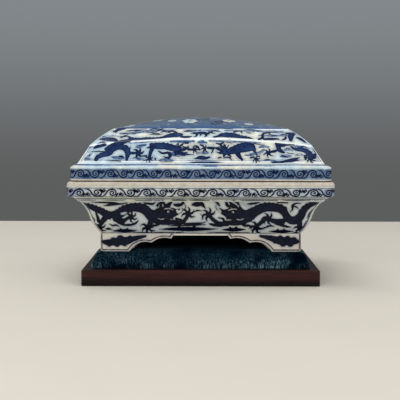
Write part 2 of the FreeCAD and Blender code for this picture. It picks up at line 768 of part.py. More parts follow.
# ---------------------------------------------------------------- the whole
sides = [
    ("front_rail", S.stand_length, S.stand_width),
    ("right_rail", S.stand_width, S.stand_length),
    ("back_rail", S.stand_length, S.stand_width),
    ("left_rail", S.stand_width, S.stand_length),
]
subparts = [make_rail(name, length, width, turn) for turn, (name, length, width) in enumerate(sides)]
subparts += [make_panel(), make_tongues(), make_board(), make_wadding(), make_velvet(), make_pegs()]
subparts += [make_box(), make_cover(), make_stone(), make_stick()]

doc.recompute()
for item in doc.Objects:
    if "Invalid" in item.State or "Error" in item.State:
        raise RuntimeError(f"{item.Name} failed: {item.State}")
os.makedirs("parts", exist_ok=True)
for subpart in subparts:
    shape = subpart.Shape
    if shape.isNull() or not shape.isValid():
        raise RuntimeError(f"{subpart.Label} has no valid shape")
    print(f"{subpart.Label:14} solids {len(shape.Solids)}  volume {shape.Volume:12.1f}")
    shape.exportStep(f"parts/{subpart.Label}.step")
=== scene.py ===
import math
import bpy
import numpy as np
from mathutils import Matrix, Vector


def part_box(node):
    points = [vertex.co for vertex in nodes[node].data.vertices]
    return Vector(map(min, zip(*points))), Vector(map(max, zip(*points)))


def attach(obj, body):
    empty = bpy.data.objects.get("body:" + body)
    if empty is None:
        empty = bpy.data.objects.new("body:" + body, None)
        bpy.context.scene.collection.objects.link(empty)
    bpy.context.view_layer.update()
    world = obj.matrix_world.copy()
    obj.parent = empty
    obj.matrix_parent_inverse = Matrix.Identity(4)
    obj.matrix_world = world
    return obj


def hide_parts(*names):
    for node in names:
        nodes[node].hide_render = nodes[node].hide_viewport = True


# A blue and white porcelain box for an ink stone and an ink stick, on a velvet pad and a rosewood stand.
# Sizes are in millimetres until a mesh is made, which is in metres.

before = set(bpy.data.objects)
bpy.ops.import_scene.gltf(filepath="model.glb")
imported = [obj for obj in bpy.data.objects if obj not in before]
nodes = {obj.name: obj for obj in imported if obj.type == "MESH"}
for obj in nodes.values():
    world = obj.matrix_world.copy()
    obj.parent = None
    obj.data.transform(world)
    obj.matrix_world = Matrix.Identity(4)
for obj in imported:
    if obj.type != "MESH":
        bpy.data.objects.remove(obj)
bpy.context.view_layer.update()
mm = 0.001
print("frame loaded:", len(nodes), "nodes")


def corners(node):
    # lowest and highest corner of a node, in millimetres
    low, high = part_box(node)
    return np.array(low) / mm, np.array(high) / mm


bodyLow, bodyHigh = corners("box_body")
coverLow, coverHigh = corners("box_cover")
padLow, padHigh = corners("velvet_cover")

# the camera

view = {
    "place": (0.2, -1096.4, 184.4),
    "down": 4.89,  # this and the next two in degrees
    "left": 0.06,
    "tilt": 0.12,
    "lens": 81.0,
    "sensor": 36.0,
}
cameraData = bpy.data.cameras.new("camera")
cameraData.lens = view["lens"]
cameraData.sensor_width = view["sensor"]
cameraData.clip_start = 0.05
camera = bpy.data.objects.new("camera", cameraData)
bpy.context.scene.collection.objects.link(camera)
turnLeft = Matrix.Rotation(math.radians(view["left"]), 3, "Z")
turnDown = Matrix.Rotation(math.radians(90 - view["down"]), 3, "X")
turnRound = Matrix.Rotation(math.radians(view["tilt"]), 3, "Z")
camera.location = [p * mm for p in view["place"]]
camera.rotation_euler = (turnLeft @ turnDown @ turnRound).to_euler()
bpy.context.scene.camera = camera
bpy.context.scene.view_settings.view_transform = "Standard"


# node helpers


def linear(red, green, blue):
    # a colour as it looks on screen, 0 to 255, as linear light
    parts = np.array([red, green, blue]) / 255
    light = np.where(parts <= 0.04045, parts / 12.92, ((parts + 0.055) / 1.055) ** 2.4)
    return (*[float(p) for p in light], 1.0)


def fill(tree, node, inputs):
    # an input is linked where its value is another node's socket, and otherwise set
    for name, value in inputs.items():
        if isinstance(value, bpy.types.NodeSocket):
            tree.links.new(value, node.inputs[name])
        else:
            node.inputs[name].default_value = value
    return node


def addNode(tree, kind, inputs=None, **settings):
    # a new shader node with its settings, and its inputs filled
    node = tree.nodes.new(kind)
    for name, value in settings.items():
        setattr(node, name, value)
    return fill(tree, node, inputs or {})


def calc(tree, operation, first, second=0.0, third=0.0):
    # one step of arithmetic on up to three numbers or sockets
    values = {0: first, 1: second, 2: third}
    return addNode(tree, "ShaderNodeMath", values, operation=operation).outputs[0]


def times(tree, first, second):
    # first * second
    return calc(tree, "MULTIPLY", first, second)


def scaled(tree, value, factor, offset):
    # value * factor + offset
    return calc(tree, "MULTIPLY_ADD", value, factor, offset)


def offBy(tree, value, middle):
    # how far the value is from the middle, either way
    return calc(tree, "ABSOLUTE", calc(tree, "SUBTRACT", value, middle))


def spread(tree, value, low, high, start=0.0, end=1.0):
    # a smooth step from start, where the value is low, to end, where it is high
    inputs = {"Value": value, "From Min": low, "From Max": high, "To Min": start, "To Max": end}
    return addNode(tree, "ShaderNodeMapRange", inputs, interpolation_type="SMOOTHSTEP").outputs[0]


def blend(tree, share, first, second):
    # colours: first * (1 - share) + second * share
    return addNode(tree, "ShaderNodeMix", {0: share, 6: first, 7: second}, data_type="RGBA").outputs[2]


def cloudy(tree, vector, scale, detail=2.0, roughness=0.5, distortion=0.0):
    # soft noise from 0 to 1, with about scale blotches to a metre
    inputs = {"Vector": vector, "Scale": scale, "Detail": detail, "Roughness": roughness,
              "Distortion": distortion}
    return addNode(tree, "ShaderNodeTexNoise", inputs).outputs[0]


def specks(tree, vector, scale):
    # distance to the nearest of many scattered points
    return addNode(tree, "ShaderNodeTexVoronoi", {"Vector": vector, "Scale": scale}).outputs["Distance"]


def stretched(tree, vector, scale):
    # the same vector with each axis multiplied by a factor
    return addNode(tree, "ShaderNodeMapping", {"Vector": vector, "Scale": scale}).outputs[0]


def axis(tree, vector, number):
    # one coordinate of a vector: 0 is x, 1 is y and 2 is z
    return addNode(tree, "ShaderNodeSeparateXYZ", {0: vector}).outputs[number]


def place(tree):
    # where a point lies in its own piece, in metres
    return addNode(tree, "ShaderNodeTexCoord").outputs["Object"]


def field(tree, name):
    # a number that each point of the mesh carries
    return addNode(tree, "ShaderNodeAttribute", attribute_name=name).outputs["Fac"]


def newGroup(name, inputs, outputs):
    # a node group with named sockets: its tree, the values
    # that it is given and the sockets for what it has made
    tree = bpy.data.node_groups.new(name, "ShaderNodeTree")
    kinds = {"value": "NodeSocketFloat", "colour": "NodeSocketColor", "vector": "NodeSocketVector"}
    for label, kind, start in inputs:
        socket = tree.interface.new_socket(label, in_out="INPUT", socket_type=kinds[kind])
        if start is not None:
            socket.default_value = start
    for label, kind in outputs:
        tree.interface.new_socket(label, in_out="OUTPUT", socket_type=kinds[kind])
    return tree, tree.nodes.new("NodeGroupInput").outputs, tree.nodes.new("NodeGroupOutput").inputs


def useGroup(tree, group, inputs):
    # a node group at work in another tree
    return addNode(tree, "ShaderNodeGroup", inputs, node_tree=group).outputs


def newMaterial(name):
    # a material with an empty tree, apart from its shader and output
    material = bpy.data.materials.new(name)
    material.use_nodes = True
    tree = material.node_tree
    tree.nodes.clear()
    shader = tree.nodes.new("ShaderNodeBsdfPrincipled")
    output = tree.nodes.new("ShaderNodeOutputMaterial")
    tree.links.new(shader.outputs[0], output.inputs["Surface"])
    return material, tree, shader


def bump(tree, height, distance):
    # the surface's direction, tilted by a height's slope
    return addNode(tree, "ShaderNodeBump", {"Height": height, "Distance": distance}).outputs[0]


# shapes: the sides are front, right, back and left, and along runs from left to right as one looks at each

sideAlong = np.array([[1, 0], [0, 1], [-1, 0], [0, -1]])
sideOut = np.array([[0, -1], [1, 0], [0, 1], [-1, 0]])


def sideColumns(cells, cornerCells):
    # one side of a rounded rectangle: half a corner, the
    # straight part and half a corner, as shares and angles
    share = np.linspace(-1, 1, cells + 1)
    rise = np.arange(cornerCells) / cornerCells
    along = np.concatenate([np.full(cornerCells, -1.0), share, np.full(cornerCells - 1, 1.0)])
    angle = np.concatenate([rise - 1, np.zeros(cells + 1), rise[1:]]) * math.pi / 4
    return along, angle


def ringsRound(halfLength, halfWidth, corner, height, cells, cornerCells=5):
    # rounded rectangles one above the other: a point is along * (half - corner) + corner *
    # sin(angle) along its side and the other half - corner + corner * cos(angle) out from the middle
    halves = [np.asarray(h, float)[:, None] for h in (halfLength, halfWidth, halfLength, halfWidth)]
    corner = np.asarray(corner, float)[:, None]
    points, across, sides = [], [], []
    for side in range(4):
        along, angle = sideColumns(cells[side % 2], cornerCells)
        half, other = halves[side], halves[(side + 1) % 4]
        run = along * (half - corner) + corner * np.sin(angle)
        out = other - corner + corner * np.cos(angle)
        points.append(run[..., None] * sideAlong[side] + out[..., None] * sideOut[side])
        across.append(along * (half - corner) + corner * angle)
        sides.append(np.full(len(along), side))
    flat = np.concatenate(points, axis=1)
    height = np.broadcast_to(np.asarray(height, float)[:, None], flat.shape[:2])[..., None]
    return np.concatenate([flat, height], axis=2), np.concatenate(across, axis=1), np.concatenate(sides)


def profile(points, step=1.5):
    # a section line through (inset, height) points; a third
    # number is the length of the steps towards that point
    line = [np.array(points[0][:2], float)]
    for start, end in zip(points[:-1], points[1:]):
        size = end[2] if len(end) > 2 else step
        start, end = np.array(start[:2], float), np.array(end[:2], float)
        pieces = max(1, round(float(np.linalg.norm(end - start)) / size))
        line += [start + (end - start) * k / pieces for k in range(1, pieces + 1)]
    return np.array(line)


def arc(centre, radius, start, end, pieces=5):
    # points on a quarter round of a section: centre + radius * (cos, sin) of the angle in degrees
    angles = np.radians(np.linspace(start, end, pieces + 1))
    return [(centre[0] + radius * math.cos(a), centre[1] + radius * math.sin(a)) for a in angles]


def between(start, end, share):
    # the value that share of the way from start to end
    return start + (end - start) * share


def readPoints(mesh):
    # a mesh's points in metres, one to a row
    spots = np.zeros(len(mesh.vertices) * 3, np.float32)
    mesh.vertices.foreach_get("co", spots)
    return spots.reshape(-1, 3)


def writePoints(mesh, spots):
    # moves a mesh's points to these places, in metres
    mesh.vertices.foreach_set("co", spots.astype(np.float32).reshape(-1))


def makeMesh(name, points, fields=None, poles=None):
    # a closed surface on a grid of rings: a tube whose last
    # ring joins its first, or a skin closed at two poles
    rows, columns, _ = points.shape
    index = np.arange(rows * columns).reshape(rows, columns)
    after = np.roll(index, -1, axis=1)
    lower, lowerAfter = (index, after) if poles is None else (index[:-1], after[:-1])
    upper = np.roll(index, -1, axis=0) if poles is None else index[1:]
    upperAfter = np.roll(after, -1, axis=0) if poles is None else after[1:]
    quads = np.stack([lower, lowerAfter, upperAfter, upper], -1).reshape(-1, 4)
    spots = points.reshape(-1, 3)
    corner, starts = quads.reshape(-1), np.arange(len(quads)) * 4
    if poles is not None:
        spots = np.vstack([spots, poles])
        first = np.stack([np.full(columns, rows * columns), after[0], index[0]], -1)
        last = np.stack([np.full(columns, rows * columns + 1), index[-1], after[-1]], -1)
        fans = np.concatenate([first, last])
        starts = np.concatenate([starts, len(corner) + np.arange(len(fans)) * 3])
        corner = np.concatenate([corner, fans.reshape(-1)])
    mesh = bpy.data.meshes.new(name)
    mesh.vertices.add(len(spots))
    writePoints(mesh, spots * mm)
    mesh.loops.add(len(corner))
    mesh.loops.foreach_set("vertex_index", corner.astype(np.int32))
    mesh.polygons.add(len(starts))
    mesh.polygons.foreach_set("loop_start", starts.astype(np.int32))
    mesh.update(calc_edges=True)
    for label, values in (fields or {}).items():
        values = np.asarray(values, np.float32).reshape(-1)
        if poles is not None:
            values = np.concatenate([values, [values[0], values[-1]]]).astype(np.float32)
        mesh.attributes.new(label, "FLOAT", "POINT").data.foreach_set("value", values)
    mesh.validate()
    mesh.shade_smooth()
    piece = bpy.data.objects.new(name, mesh)
    bpy.context.scene.collection.objects.link(piece)
    return piece


def finishPiece(piece, family, material, sharp):
    # what each porcelain piece gets: material, sharp edges
    # from an angle in degrees, and its place in the frame
    piece.data.materials.append(material)
    piece.data.set_sharp_from_angle(angle=math.radians(sharp))
    carrier, node, slotName = family
    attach(piece, carrier)
    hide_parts(node)
    print("made", piece.name, len(piece.data.vertices), "points")


# Brushwork: a drawing is a list of (kind, points), a point being (across, up, half width of the brush).
# "ink" and "body" lay cobalt, "clear" wipes it off again, and "wash" is thin cobalt under the rest.

nothing = {"ink": 8.0, "wash": 8.0, "scaly": 8.0, "frame": 30.0}  # distances where nothing is drawn
lineAt = 1.4  # the "frame" distance at which the shader rules its line
finStep = 4.2


def smoothPath(points, steps=5):
    # Catmull-Rom: between two points a cubic whose end slopes are half the chords past them
    spots = np.array(points, float)
    if len(spots) == 1:
        spots = np.vstack([spots, spots + [0.01, 0, 0]])
    ends = np.vstack([2 * spots[0] - spots[1], spots, 2 * spots[-1] - spots[-2]])
    share = (np.arange(steps) / steps)[:, None, None]
    before, start, end, later = (ends[k:len(ends) - 3 + k] for k in range(4))
    curve = start + share * (end - before) / 2
    curve = curve + share ** 2 * (before - 2.5 * start + 2 * end - later / 2)
    curve = curve + share ** 3 * (1.5 * (start - end) + (later - before) / 2)
    line = np.vstack([curve.transpose(1, 0, 2).reshape(-1, 3), spots[-1:]])
    line[:, 2] = np.maximum(line[:, 2], 0.05)
    return line


def strokeGap(across, up, path):
    # the distance to the nearest run of the path, less the brush's half
    # width there; how far along the path that is; and how far to its left
    start, step = path[:-1], np.diff(path, axis=0)
    length = np.maximum(np.hypot(step[:, 0], step[:, 1]), 1e-6)
    offAcross = across[:, None] - start[:, 0]
    offUp = up[:, None] - start[:, 1]
    share = np.clip((offAcross * step[:, 0] + offUp * step[:, 1]) / length ** 2, 0, 1)
    restAcross = offAcross - share * step[:, 0]
    restUp = offUp - share * step[:, 1]
    gap = np.hypot(restAcross, restUp) - start[:, 2] - share * step[:, 2]
    best = gap.argmin(axis=1)
    pick = np.arange(len(across)), best
    along = (np.cumsum(length) - length)[best] + share[pick] * length[best]
    side = (restUp[pick] * step[best, 0] - restAcross[pick] * step[best, 1]) / length[best]
    return gap[pick], along, side


def paint(across, up, drawing, fins=1.0):
    # the drawing as distances to its edges, in millimetres, negative inside;
    # a body also keeps how far along it and beside its middle a point lies,
    # for its scales, and has fins on its back, whose points are finStep apart
    names = ("ink", "wash", "along", "beside", "scaly")
    fields = {name: np.full(across.shape, nothing.get(name, 0.0)) for name in names}
    for kind, points in drawing:
        path = smoothPath(points)
        reach = path[:, 2].max() + 4
        near = (across > path[:, 0].min() - reach) & (across < path[:, 0].max() + reach)
        near &= (up > path[:, 1].min() - reach) & (up < path[:, 1].max() + reach)
        if not near.any():
            continue
        gap, along, side = strokeGap(across[near], up[near], path)
        if kind == "body":
            taken = (gap < fields["scaly"][near]) & (gap < 2)
            for name, values in (("scaly", gap), ("along", along), ("beside", side)):
                fields[name][near] = np.where(taken, values, fields[name][near])
            saw = np.abs((along / finStep) % 1 - 0.35) * 2
            back = side if path[-1, 0] > path[0, 0] else -side
            gap = gap - fins * np.where(back > 0, np.clip(1 - saw, 0, 1), 0)
        if kind == "clear":
            for name in ("ink", "wash"):
                fields[name][near] = np.maximum(fields[name][near], -gap)
        else:
            name = "wash" if kind == "wash" else "ink"
            fields[name][near] = np.minimum(fields[name][near], gap)
    return fields


def blankFields(fields, rows):
    # nothing is drawn on these rows
    for name, empty in nothing.items():
        if name in fields:
            fields[name][rows] = empty


def drawn(*items):
    # a drawing from the names of kinds, each followed by its
    # strokes, and from whole motifs, in the order of painting
    drawing, kind = [], "ink"
    for item in items:
        if isinstance(item, str):
            kind = item
        elif isinstance(item[0][0], str):
            drawing += item
        else:
            drawing.append((kind, item))
    return drawing


def strokes(kind, *lines):
    # several strokes of one kind
    return [(kind, list(line)) for line in lines]


def placed(drawing, across, up, size=1.0, facing=1, turn=0.0):
    # a motif moved, scaled, turned by degrees and mirrored where it faces left
    cos, sin = math.cos(math.radians(turn)), math.sin(math.radians(turn))
    moved = []
    for kind, points in drawing:
        spots = [(x * cos - y * sin, x * sin + y * cos, w) for x, y, w in points]
        moved.append((kind, [(across + facing * size * x, up + size * y, w * size) for x, y, w in spots]))
    return moved


def mirrored(drawing):
    # the drawing with left and right swapped
    return [(kind, [(-x, y, w) for x, y, w in points]) for kind, points in drawing]


def bolder(drawing, extra):
    # every stroke broader by the extra on each side, apart from those that wipe cobalt off
    return [(kind, [(x, y, w if kind == "clear" else w + extra) for x, y, w in points])
            for kind, points in drawing]


dragonHead = drawn(
    "ink", [(-12, -3, 7), (-5, 0, 7.8), (3, 2, 6.6), (9, 3, 4), (14, 4.6, 2.6)],
    [(13, 5, 2.4), (15.4, 7, 1.7)], [(-9, -7, 5), (0, -9, 3.6), (7, -8.4, 2.2), (12, -5.4, 1)],
    [(-10, 5, 4.4), (-10, 10, 3.8), (-7, 15.6, 1)], [(-3, 7, 4), (0.5, 11.5, 2.8), (5, 16, 0.8)],
    [(-13, 3, 3.6), (-17, 7.5, 2), (-20, 13, 0.6)], [(-10, -9, 3), (-14, -12.6, 1.6), (-20, -13, 0.5)],
    [(12, 5, 0.7), (17.5, 6, 0.6), (20, 10, 0.5), (18, 14.5, 0.3)],
    "clear", [(-1.5, -3.8, 0.3), (5, -3.9, 0.6), (12.5, -2, 1.0)], [(0.4, 3.4, 1.25)],
    "ink", [(0.7, 3.4, 0.65)],
    "clear", [(-4, 7, 0.3), (1, 7.4, 0.55), (6, 5.6, 0.25)], [(14.4, 6.2, 0.5)],
    [(-11, 8, 0.35), (-9.6, 12, 0.3)], [(-12, -4, 0.3), (-8, -5.6, 0.45), (-4, -4.6, 0.3)],
)


def dragonFoot(across, up, size=1.0, turn=0.0):
    # a palm with five hooked talons, the wrist at the angle turn
    talons = strokes("ink", [(0, 0, 2.3)])
    for share in range(5):
        angle = math.radians(turn + 65 + share * 57.5)
        # each joint: distance, angle and half width
        joints = [(1.5, angle, 1.5), (4.8, angle, 1.15), (7.6, angle + 0.38, 0.35)]
        talons += strokes("ink", [(far * math.cos(a), far * math.sin(a), w) for far, a, w in joints])
    return placed(talons, across, up, size)


def cloud(across, up, length, thick, lean=0.0):
    # a drifting cloud: a long tapered stroke with two lobes on its back
    half = length / 2
    return placed(strokes(
        "ink",
        [(-half, -0.2, 0.3), (-half * 0.55, 0, thick * 0.34), (0, 0, thick * 0.5),
         (half * 0.5, 0, thick * 0.36), (half, 0.2, 0.3)],
        [(-half * 0.32, thick * 0.42, thick * 0.3)],
        [(half * 0.2, thick * 0.45, thick * 0.34)],
    ), across, up, turn=lean)


def curl(across, up, radius, turns, start=0.0, brush=0.6, spin=1):
    # a spiral that winds in: the radius falls evenly with the angle
    angles = np.linspace(0, turns * 2 * math.pi, int(turns * 10) + 2)
    reach = radius * (1 - angles / angles[-1] * 0.86)
    heading = math.radians(start) + spin * angles
    width = brush * (1 - 0.35 * angles / angles[-1])
    return strokes("ink", zip(across + reach * np.cos(heading), up + reach * np.sin(heading), width))


def pearl(across, up, radius):
    # the flaming pearl: a ring with a heart, and two flames on each side, placed by shares of its radius
    flames = strokes("ink", [(0, 0, radius)]) + strokes("clear", [(0, 0, radius - 0.9)])
    flames += strokes("ink", [(0, 0, radius * 0.3)])
    for side in (-1, 1):
        for tongue in ([(1, 0.5, 0.9), (1.5, 1.4, 0.7), (1.2, 2.4, 0.2)],
                       [(1, -0.6, 0.8), (1.9, -0.6, 0.6), (2.6, 0.2, 0.2)]):
            flames += strokes("ink", [(side * radius * x, radius * y, w) for x, y, w in tongue])
    return placed(flames, across, up)


# the wall's dragons: two meet in the middle of a long side, one prowls along a short side

wallFront = drawn(
    "body", [(-137, 35.6, 1), (-129, 33.8, 2.6), (-121, 30.6, 3.6), (-113, 26.8, 4), (-106, 22.6, 4.6),
     (-99, 21.6, 5.2), (-92, 24.4, 5.6), (-86, 28.6, 5.4), (-80, 31, 5), (-72, 31.6, 5.4), (-65, 29.8, 5.8),
     (-60, 25.8, 5.8), (-56, 21.5, 6.4), (-50, 19.4, 7.4)], placed(dragonHead, -37, 23, facing=1),
    "clear", [(-57.4, 33.8, 1.4), (-54, 31, 2.2), (-50.6, 31.8, 1.4)], [(-27, 28.6, 0.9), (-25.4, 26, 1.6),
     (-22.4, 28, 1.4), (-22.4, 31, 0.9)], [(-101, 17.2, 1.5), (-98, 15.4, 1.6), (-96.4, 14.4, 0.8)],
    [(-90, 24, 1.2), (-85.4, 24.2, 1.8), (-82, 22.4, 1)],
    "ink", [(-43, 40, 1.1), (-41, 35.6, 1.7), (-39.6, 33, 1.1)], [(-30, 35, 1.2), (-26, 34.4, 2.3),
     (-21.6, 35.6, 1.9), (-19.4, 38.8, 1.4)], [(-31, 39.8, 1.1), (-24, 40.3, 1), (-16, 39.9, 0.8)],
    [(-37, 19.3, 1.1), (-32, 18.9, 1.2)], [(-28, 18.4, 1.4), (-23, 17.2, 1.2), (-20.6, 16.4, 0.7)],
    [(-52, 39.6, 0.9), (-46, 39.9, 0.8)], [(-32, 14.2, 3.2), (-22, 13.6, 2.6), (-17.5, 17.5, 2.3),
     (-14.5, 22.5, 2.2)], dragonFoot(-14.5, 24.2, 1.1, -110), [(-56, 17, 3.8), (-58, 12, 3),
     (-60, 8.5, 2.4)], dragonFoot(-60.5, 7.6, 1.15, 75), [(-97, 18, 3.8), (-90, 15.3, 3.4), (-86, 17, 2.2),
     (-81, 20, 2)], dragonFoot(-79.5, 20.4, 1.0, 200), [(-108, 20, 3.6), (-112.5, 14.5, 2.9),
     (-115.5, 9.5, 2.3)], [(-120, 27, 0.6), (-117.8, 21, 1.6), (-116.4, 15, 2.2)],
    dragonFoot(-116, 7.6, 1.02, 70), [(-127.5, 25, 0.5), (-124, 20.5, 1.5), (-120.6, 15.5, 0.5)],
    [(-104.5, 12, 0.4), (-101, 9.8, 1), (-97, 10.4, 1.2), (-93, 8.6, 0.4)], [(-109.5, 5.4, 0.5),
     (-106, 5.8, 1.5), (-102, 5, 0.4)], [(-95, 13.4, 1.2), (-88, 10.8, 1.5), (-80, 10.7, 1.5),
     (-74.4, 12.8, 1.3), (-71.6, 15.6, 0.7)], cloud(-87.5, 3.3, 29, 4.6), cloud(-14, 5.6, 66, 5.8),
    [(-22, 12.2, 1), (-8, 12.4, 1.5), (3, 13.4, 0.8), (5.5, 15, 0.3)], [(-36, 9.5, 0.6), (-20, 10.2, 1.1),
     (-6, 10.5, 1.1), (5, 11.2, 0.5)], [(-124, 38.1, 0.4), (-110, 37.6, 1.1), (-98, 37.2, 1),
     (-91, 36.4, 0.5)], [(-110, 33.6, 0.4), (-103, 34.6, 1.4), (-96, 35.4, 1.3), (-88, 36, 1),
     (-83, 37.4, 0.4)], [(-65, 37.6, 0.4), (-59, 36.2, 1.4), (-54, 36, 1.3), (-51.5, 37.8, 0.5)],
    [(-9, 35.2, 1.4), (-4.5, 35.8, 3.2), (0.5, 36, 2.8), (3.4, 33, 1.5), (5.4, 30.4, 0.4)],
    [(-138, 40.2, 0.3), (-128, 39.9, 0.7), (-118, 40.2, 0.4)], [(-114, 39, 0.5), (-100, 39.7, 1),
     (-86, 39.9, 0.6)], [(-73, 40, 0.5), (-63, 39.5, 1.1), (-55, 40.2, 0.6)], [(-12, 40.2, 0.5),
     (-2, 40.4, 0.9), (9, 39.8, 0.6)], [(-78, 1.2, 0.4), (-66, 1, 0.7), (-50, 1.2, 0.6), (-34, 1, 0.7),
     (-20, 1.5, 0.4)], [(-8.6, 25.8, 0.4), (-4, 28, 1.1), (1, 27.6, 0.4)],
    "body", [(134, 38, 1.2), (127.5, 36.6, 2.8), (121.6, 33.8, 3.6), (116.8, 28.6, 4.2), (114, 22, 4.7),
     (109.5, 17, 4.9), (103.5, 16.8, 5), (99, 20.6, 5), (95.6, 26, 5), (90, 30.2, 5), (82, 32, 5.2),
     (74, 32, 5.4), (67, 30, 5.8), (61, 26.2, 6), (55, 21.6, 6.8), (49, 19.2, 7.6)],
    placed(dragonHead, 37, 22.5, facing=-1),
    "clear", [(44.4, 37.8, 1.2), (47.6, 33.6, 2.2), (50.6, 31, 2), (54.6, 32.2, 1.4), (57.4, 35.2, 0.9)],
    [(20.6, 29.4, 0.8), (22, 26.2, 1.3), (20.8, 23.6, 0.9)], [(98.4, 31.8, 1), (101.4, 26.4, 1.6),
     (105, 23, 1.5), (108.6, 25.6, 1.5), (110.6, 30, 1)], [(131.4, 34.4, 0.7), (126.6, 32, 1),
     (122.2, 27.4, 1), (119.9, 21.6, 0.9)], [(81, 25.4, 1), (85, 24, 1.6), (89.4, 21.4, 1.2)],
    "ink", [(15, 39.6, 0.8), (19, 37.2, 1.3), (21.2, 33.8, 0.9)], [(28.6, 38.4, 1.4), (30, 34.4, 2),
     (33, 32.4, 1.5)], [(36, 40, 0.9), (41, 37.8, 1.5), (42.4, 35, 0.9)], [(20.6, 19.4, 0.8),
     (26, 18.4, 1.3)], [(30, 18.8, 1.5), (35, 19, 1.5), (40, 19.6, 1)], [(9.6, 12.4, 0.7), (13, 11.4, 1.7),
     (18, 9.8, 1.3), (24, 9, 0.8)], [(118.4, 8, 1.4), (120.2, 12.6, 1.5), (121.4, 16.2, 0.7)],
    [(86, 12.6, 1.4), (91.6, 11, 1.9), (97.6, 9.2, 1.5), (103, 8.2, 0.6)], [(112.6, 37, 0.5),
     (107, 36.8, 1.1), (103.6, 34, 1.5), (104, 30, 1.2), (101.6, 26.4, 0.5)], [(104, 33.4, 0.9),
     (108, 32.6, 1), (111, 30, 0.4)], [(30, 12.4, 3.3), (21, 12.4, 2.9), (15.5, 16, 2.4), (10.5, 21, 2.2)],
    dragonFoot(9, 23.2, 1.12, -55), [(75, 19, 3), (70, 14.6, 2.6), (66, 11, 2.3)],
    dragonFoot(64, 8, 1.2, 45), [(93, 15, 3.8), (86, 15, 3.2), (80, 17, 2.5)],
    dragonFoot(77, 18.4, 1.05, -20), [(112, 15, 3.6), (113.6, 10.6, 2.8)], dragonFoot(114.5, 6.8, 1.12, 95),
    [(122.2, 17.2, 0.6), (124.6, 22.8, 2.7), (128, 30.6, 0.8)], cloud(38, 5, 27, 5.3),
    cloud(93, 2.9, 28, 4.5), [(52, 36, 0.4), (57, 36.4, 1.5), (62.6, 37, 1.2), (66, 38.4, 0.4)],
    [(84, 38.6, 0.4), (91, 37.9, 1), (97.4, 37.6, 0.9)], [(45, 40.2, 0.5), (58, 39.9, 0.9), (72, 39.6, 1),
     (86, 40.2, 0.6)], [(92, 40.3, 0.4), (106, 40, 0.9), (122, 40.2, 0.4)], [(8, 1.2, 0.4), (30, 1, 0.8),
     (56, 1.2, 0.5)], [(106, 1.4, 0.4), (113, 1.1, 0.7), (118, 1.4, 0.4)], [(52, 12, 0.5), (57, 9.4, 1.2),
     (58, 5, 0.5)], [(72, 6.4, 0.6), (78, 9.6, 1.3), (84, 9.2, 0.6)], [(0, 24, 0.5), (2.6, 20.6, 0.9),
     (1.6, 17, 0.5)],
)
wallSide = bolder(drawn(
    "body", [(-86, 36.4, 1), (-79, 33.4, 2.6), (-72, 28.2, 3.6), (-66, 22, 4.4), (-60, 18.6, 4.8),
     (-53, 19.8, 4.8), (-47, 25, 4.8), (-41, 29.4, 4.8), (-33, 31.2, 5), (-26, 29.4, 5.2), (-20, 25, 5.8),
     (-14, 20.6, 6.8)], placed(dragonHead, -1, 23, facing=1),
    "ink", [(4, 13.6, 3), (13, 13.4, 2.4), (18, 17, 2.2), (21, 20, 2)], [(-20, 18, 3.4), (-22, 12.6, 2.6),
     (-24, 9, 2)], [(-54, 16, 3.6), (-47, 13.6, 3), (-43, 16, 2)], [(-66, 19, 3), (-65, 13, 2.4),
     (-63, 9, 1.8)], dragonFoot(22.5, 22.6, 1.05, -125), dragonFoot(-25, 7.4, 1.05, 75),
    dragonFoot(-40, 17.6, 0.95, 200), dragonFoot(-61.5, 6.8, 0.95, 100), pearl(40, 19, 3.4),
    [(62, 8, 0.6), (60, 14, 2.2), (63, 20, 2.8), (68, 25, 2.4), (75, 29, 1.4), (81, 34, 0.4)],
    [(61, 22, 1.4), (56, 27, 2.4), (50, 30.4, 2), (44, 31, 0.6)], [(70, 36.8, 0.4), (76, 35.4, 1.2),
     (81, 37, 0.4)], [(-10, 38.6, 0.6), (-2, 36.6, 1.6), (5, 38.4, 0.8), (12, 36.4, 1.4), (19, 38.6, 0.4)],
    [(18, 32, 0.4), (23, 34, 1.4), (28, 31.6, 0.4)], [(-34, 12, 0.4), (-31, 15, 1.2), (-33, 19, 0.4)],
    [(28, 9.6, 0.4), (34, 11.4, 1.3), (40, 9.4, 0.4)], [(64, 14, 0.5), (69, 16.4, 1.4), (72, 21, 0.4)],
    [(-76, 38.6, 0.4), (-66, 39.4, 1), (-54, 39.2, 0.5)], [(-46, 39.4, 0.4), (-34, 39.8, 0.9),
     (-22, 39.2, 0.5)], [(26, 39.6, 0.4), (40, 39.9, 0.9), (56, 39.4, 0.5)], [(-70, 1.2, 0.4), (-50, 1, 0.7),
     (-20, 1.1, 0.6), (10, 1, 0.7), (40, 1.2, 0.6), (62, 1.2, 0.4)], curl(52, 12, 3.6, 1.4, 90, 1.0),
    cloud(-44, 3.6, 24, 4.2), cloud(12, 4.8, 44, 5.2), cloud(50, 4, 18, 4), cloud(40, 35, 26, 3.8),
    cloud(-58, 34.6, 18, 3.4),
), 0.3)

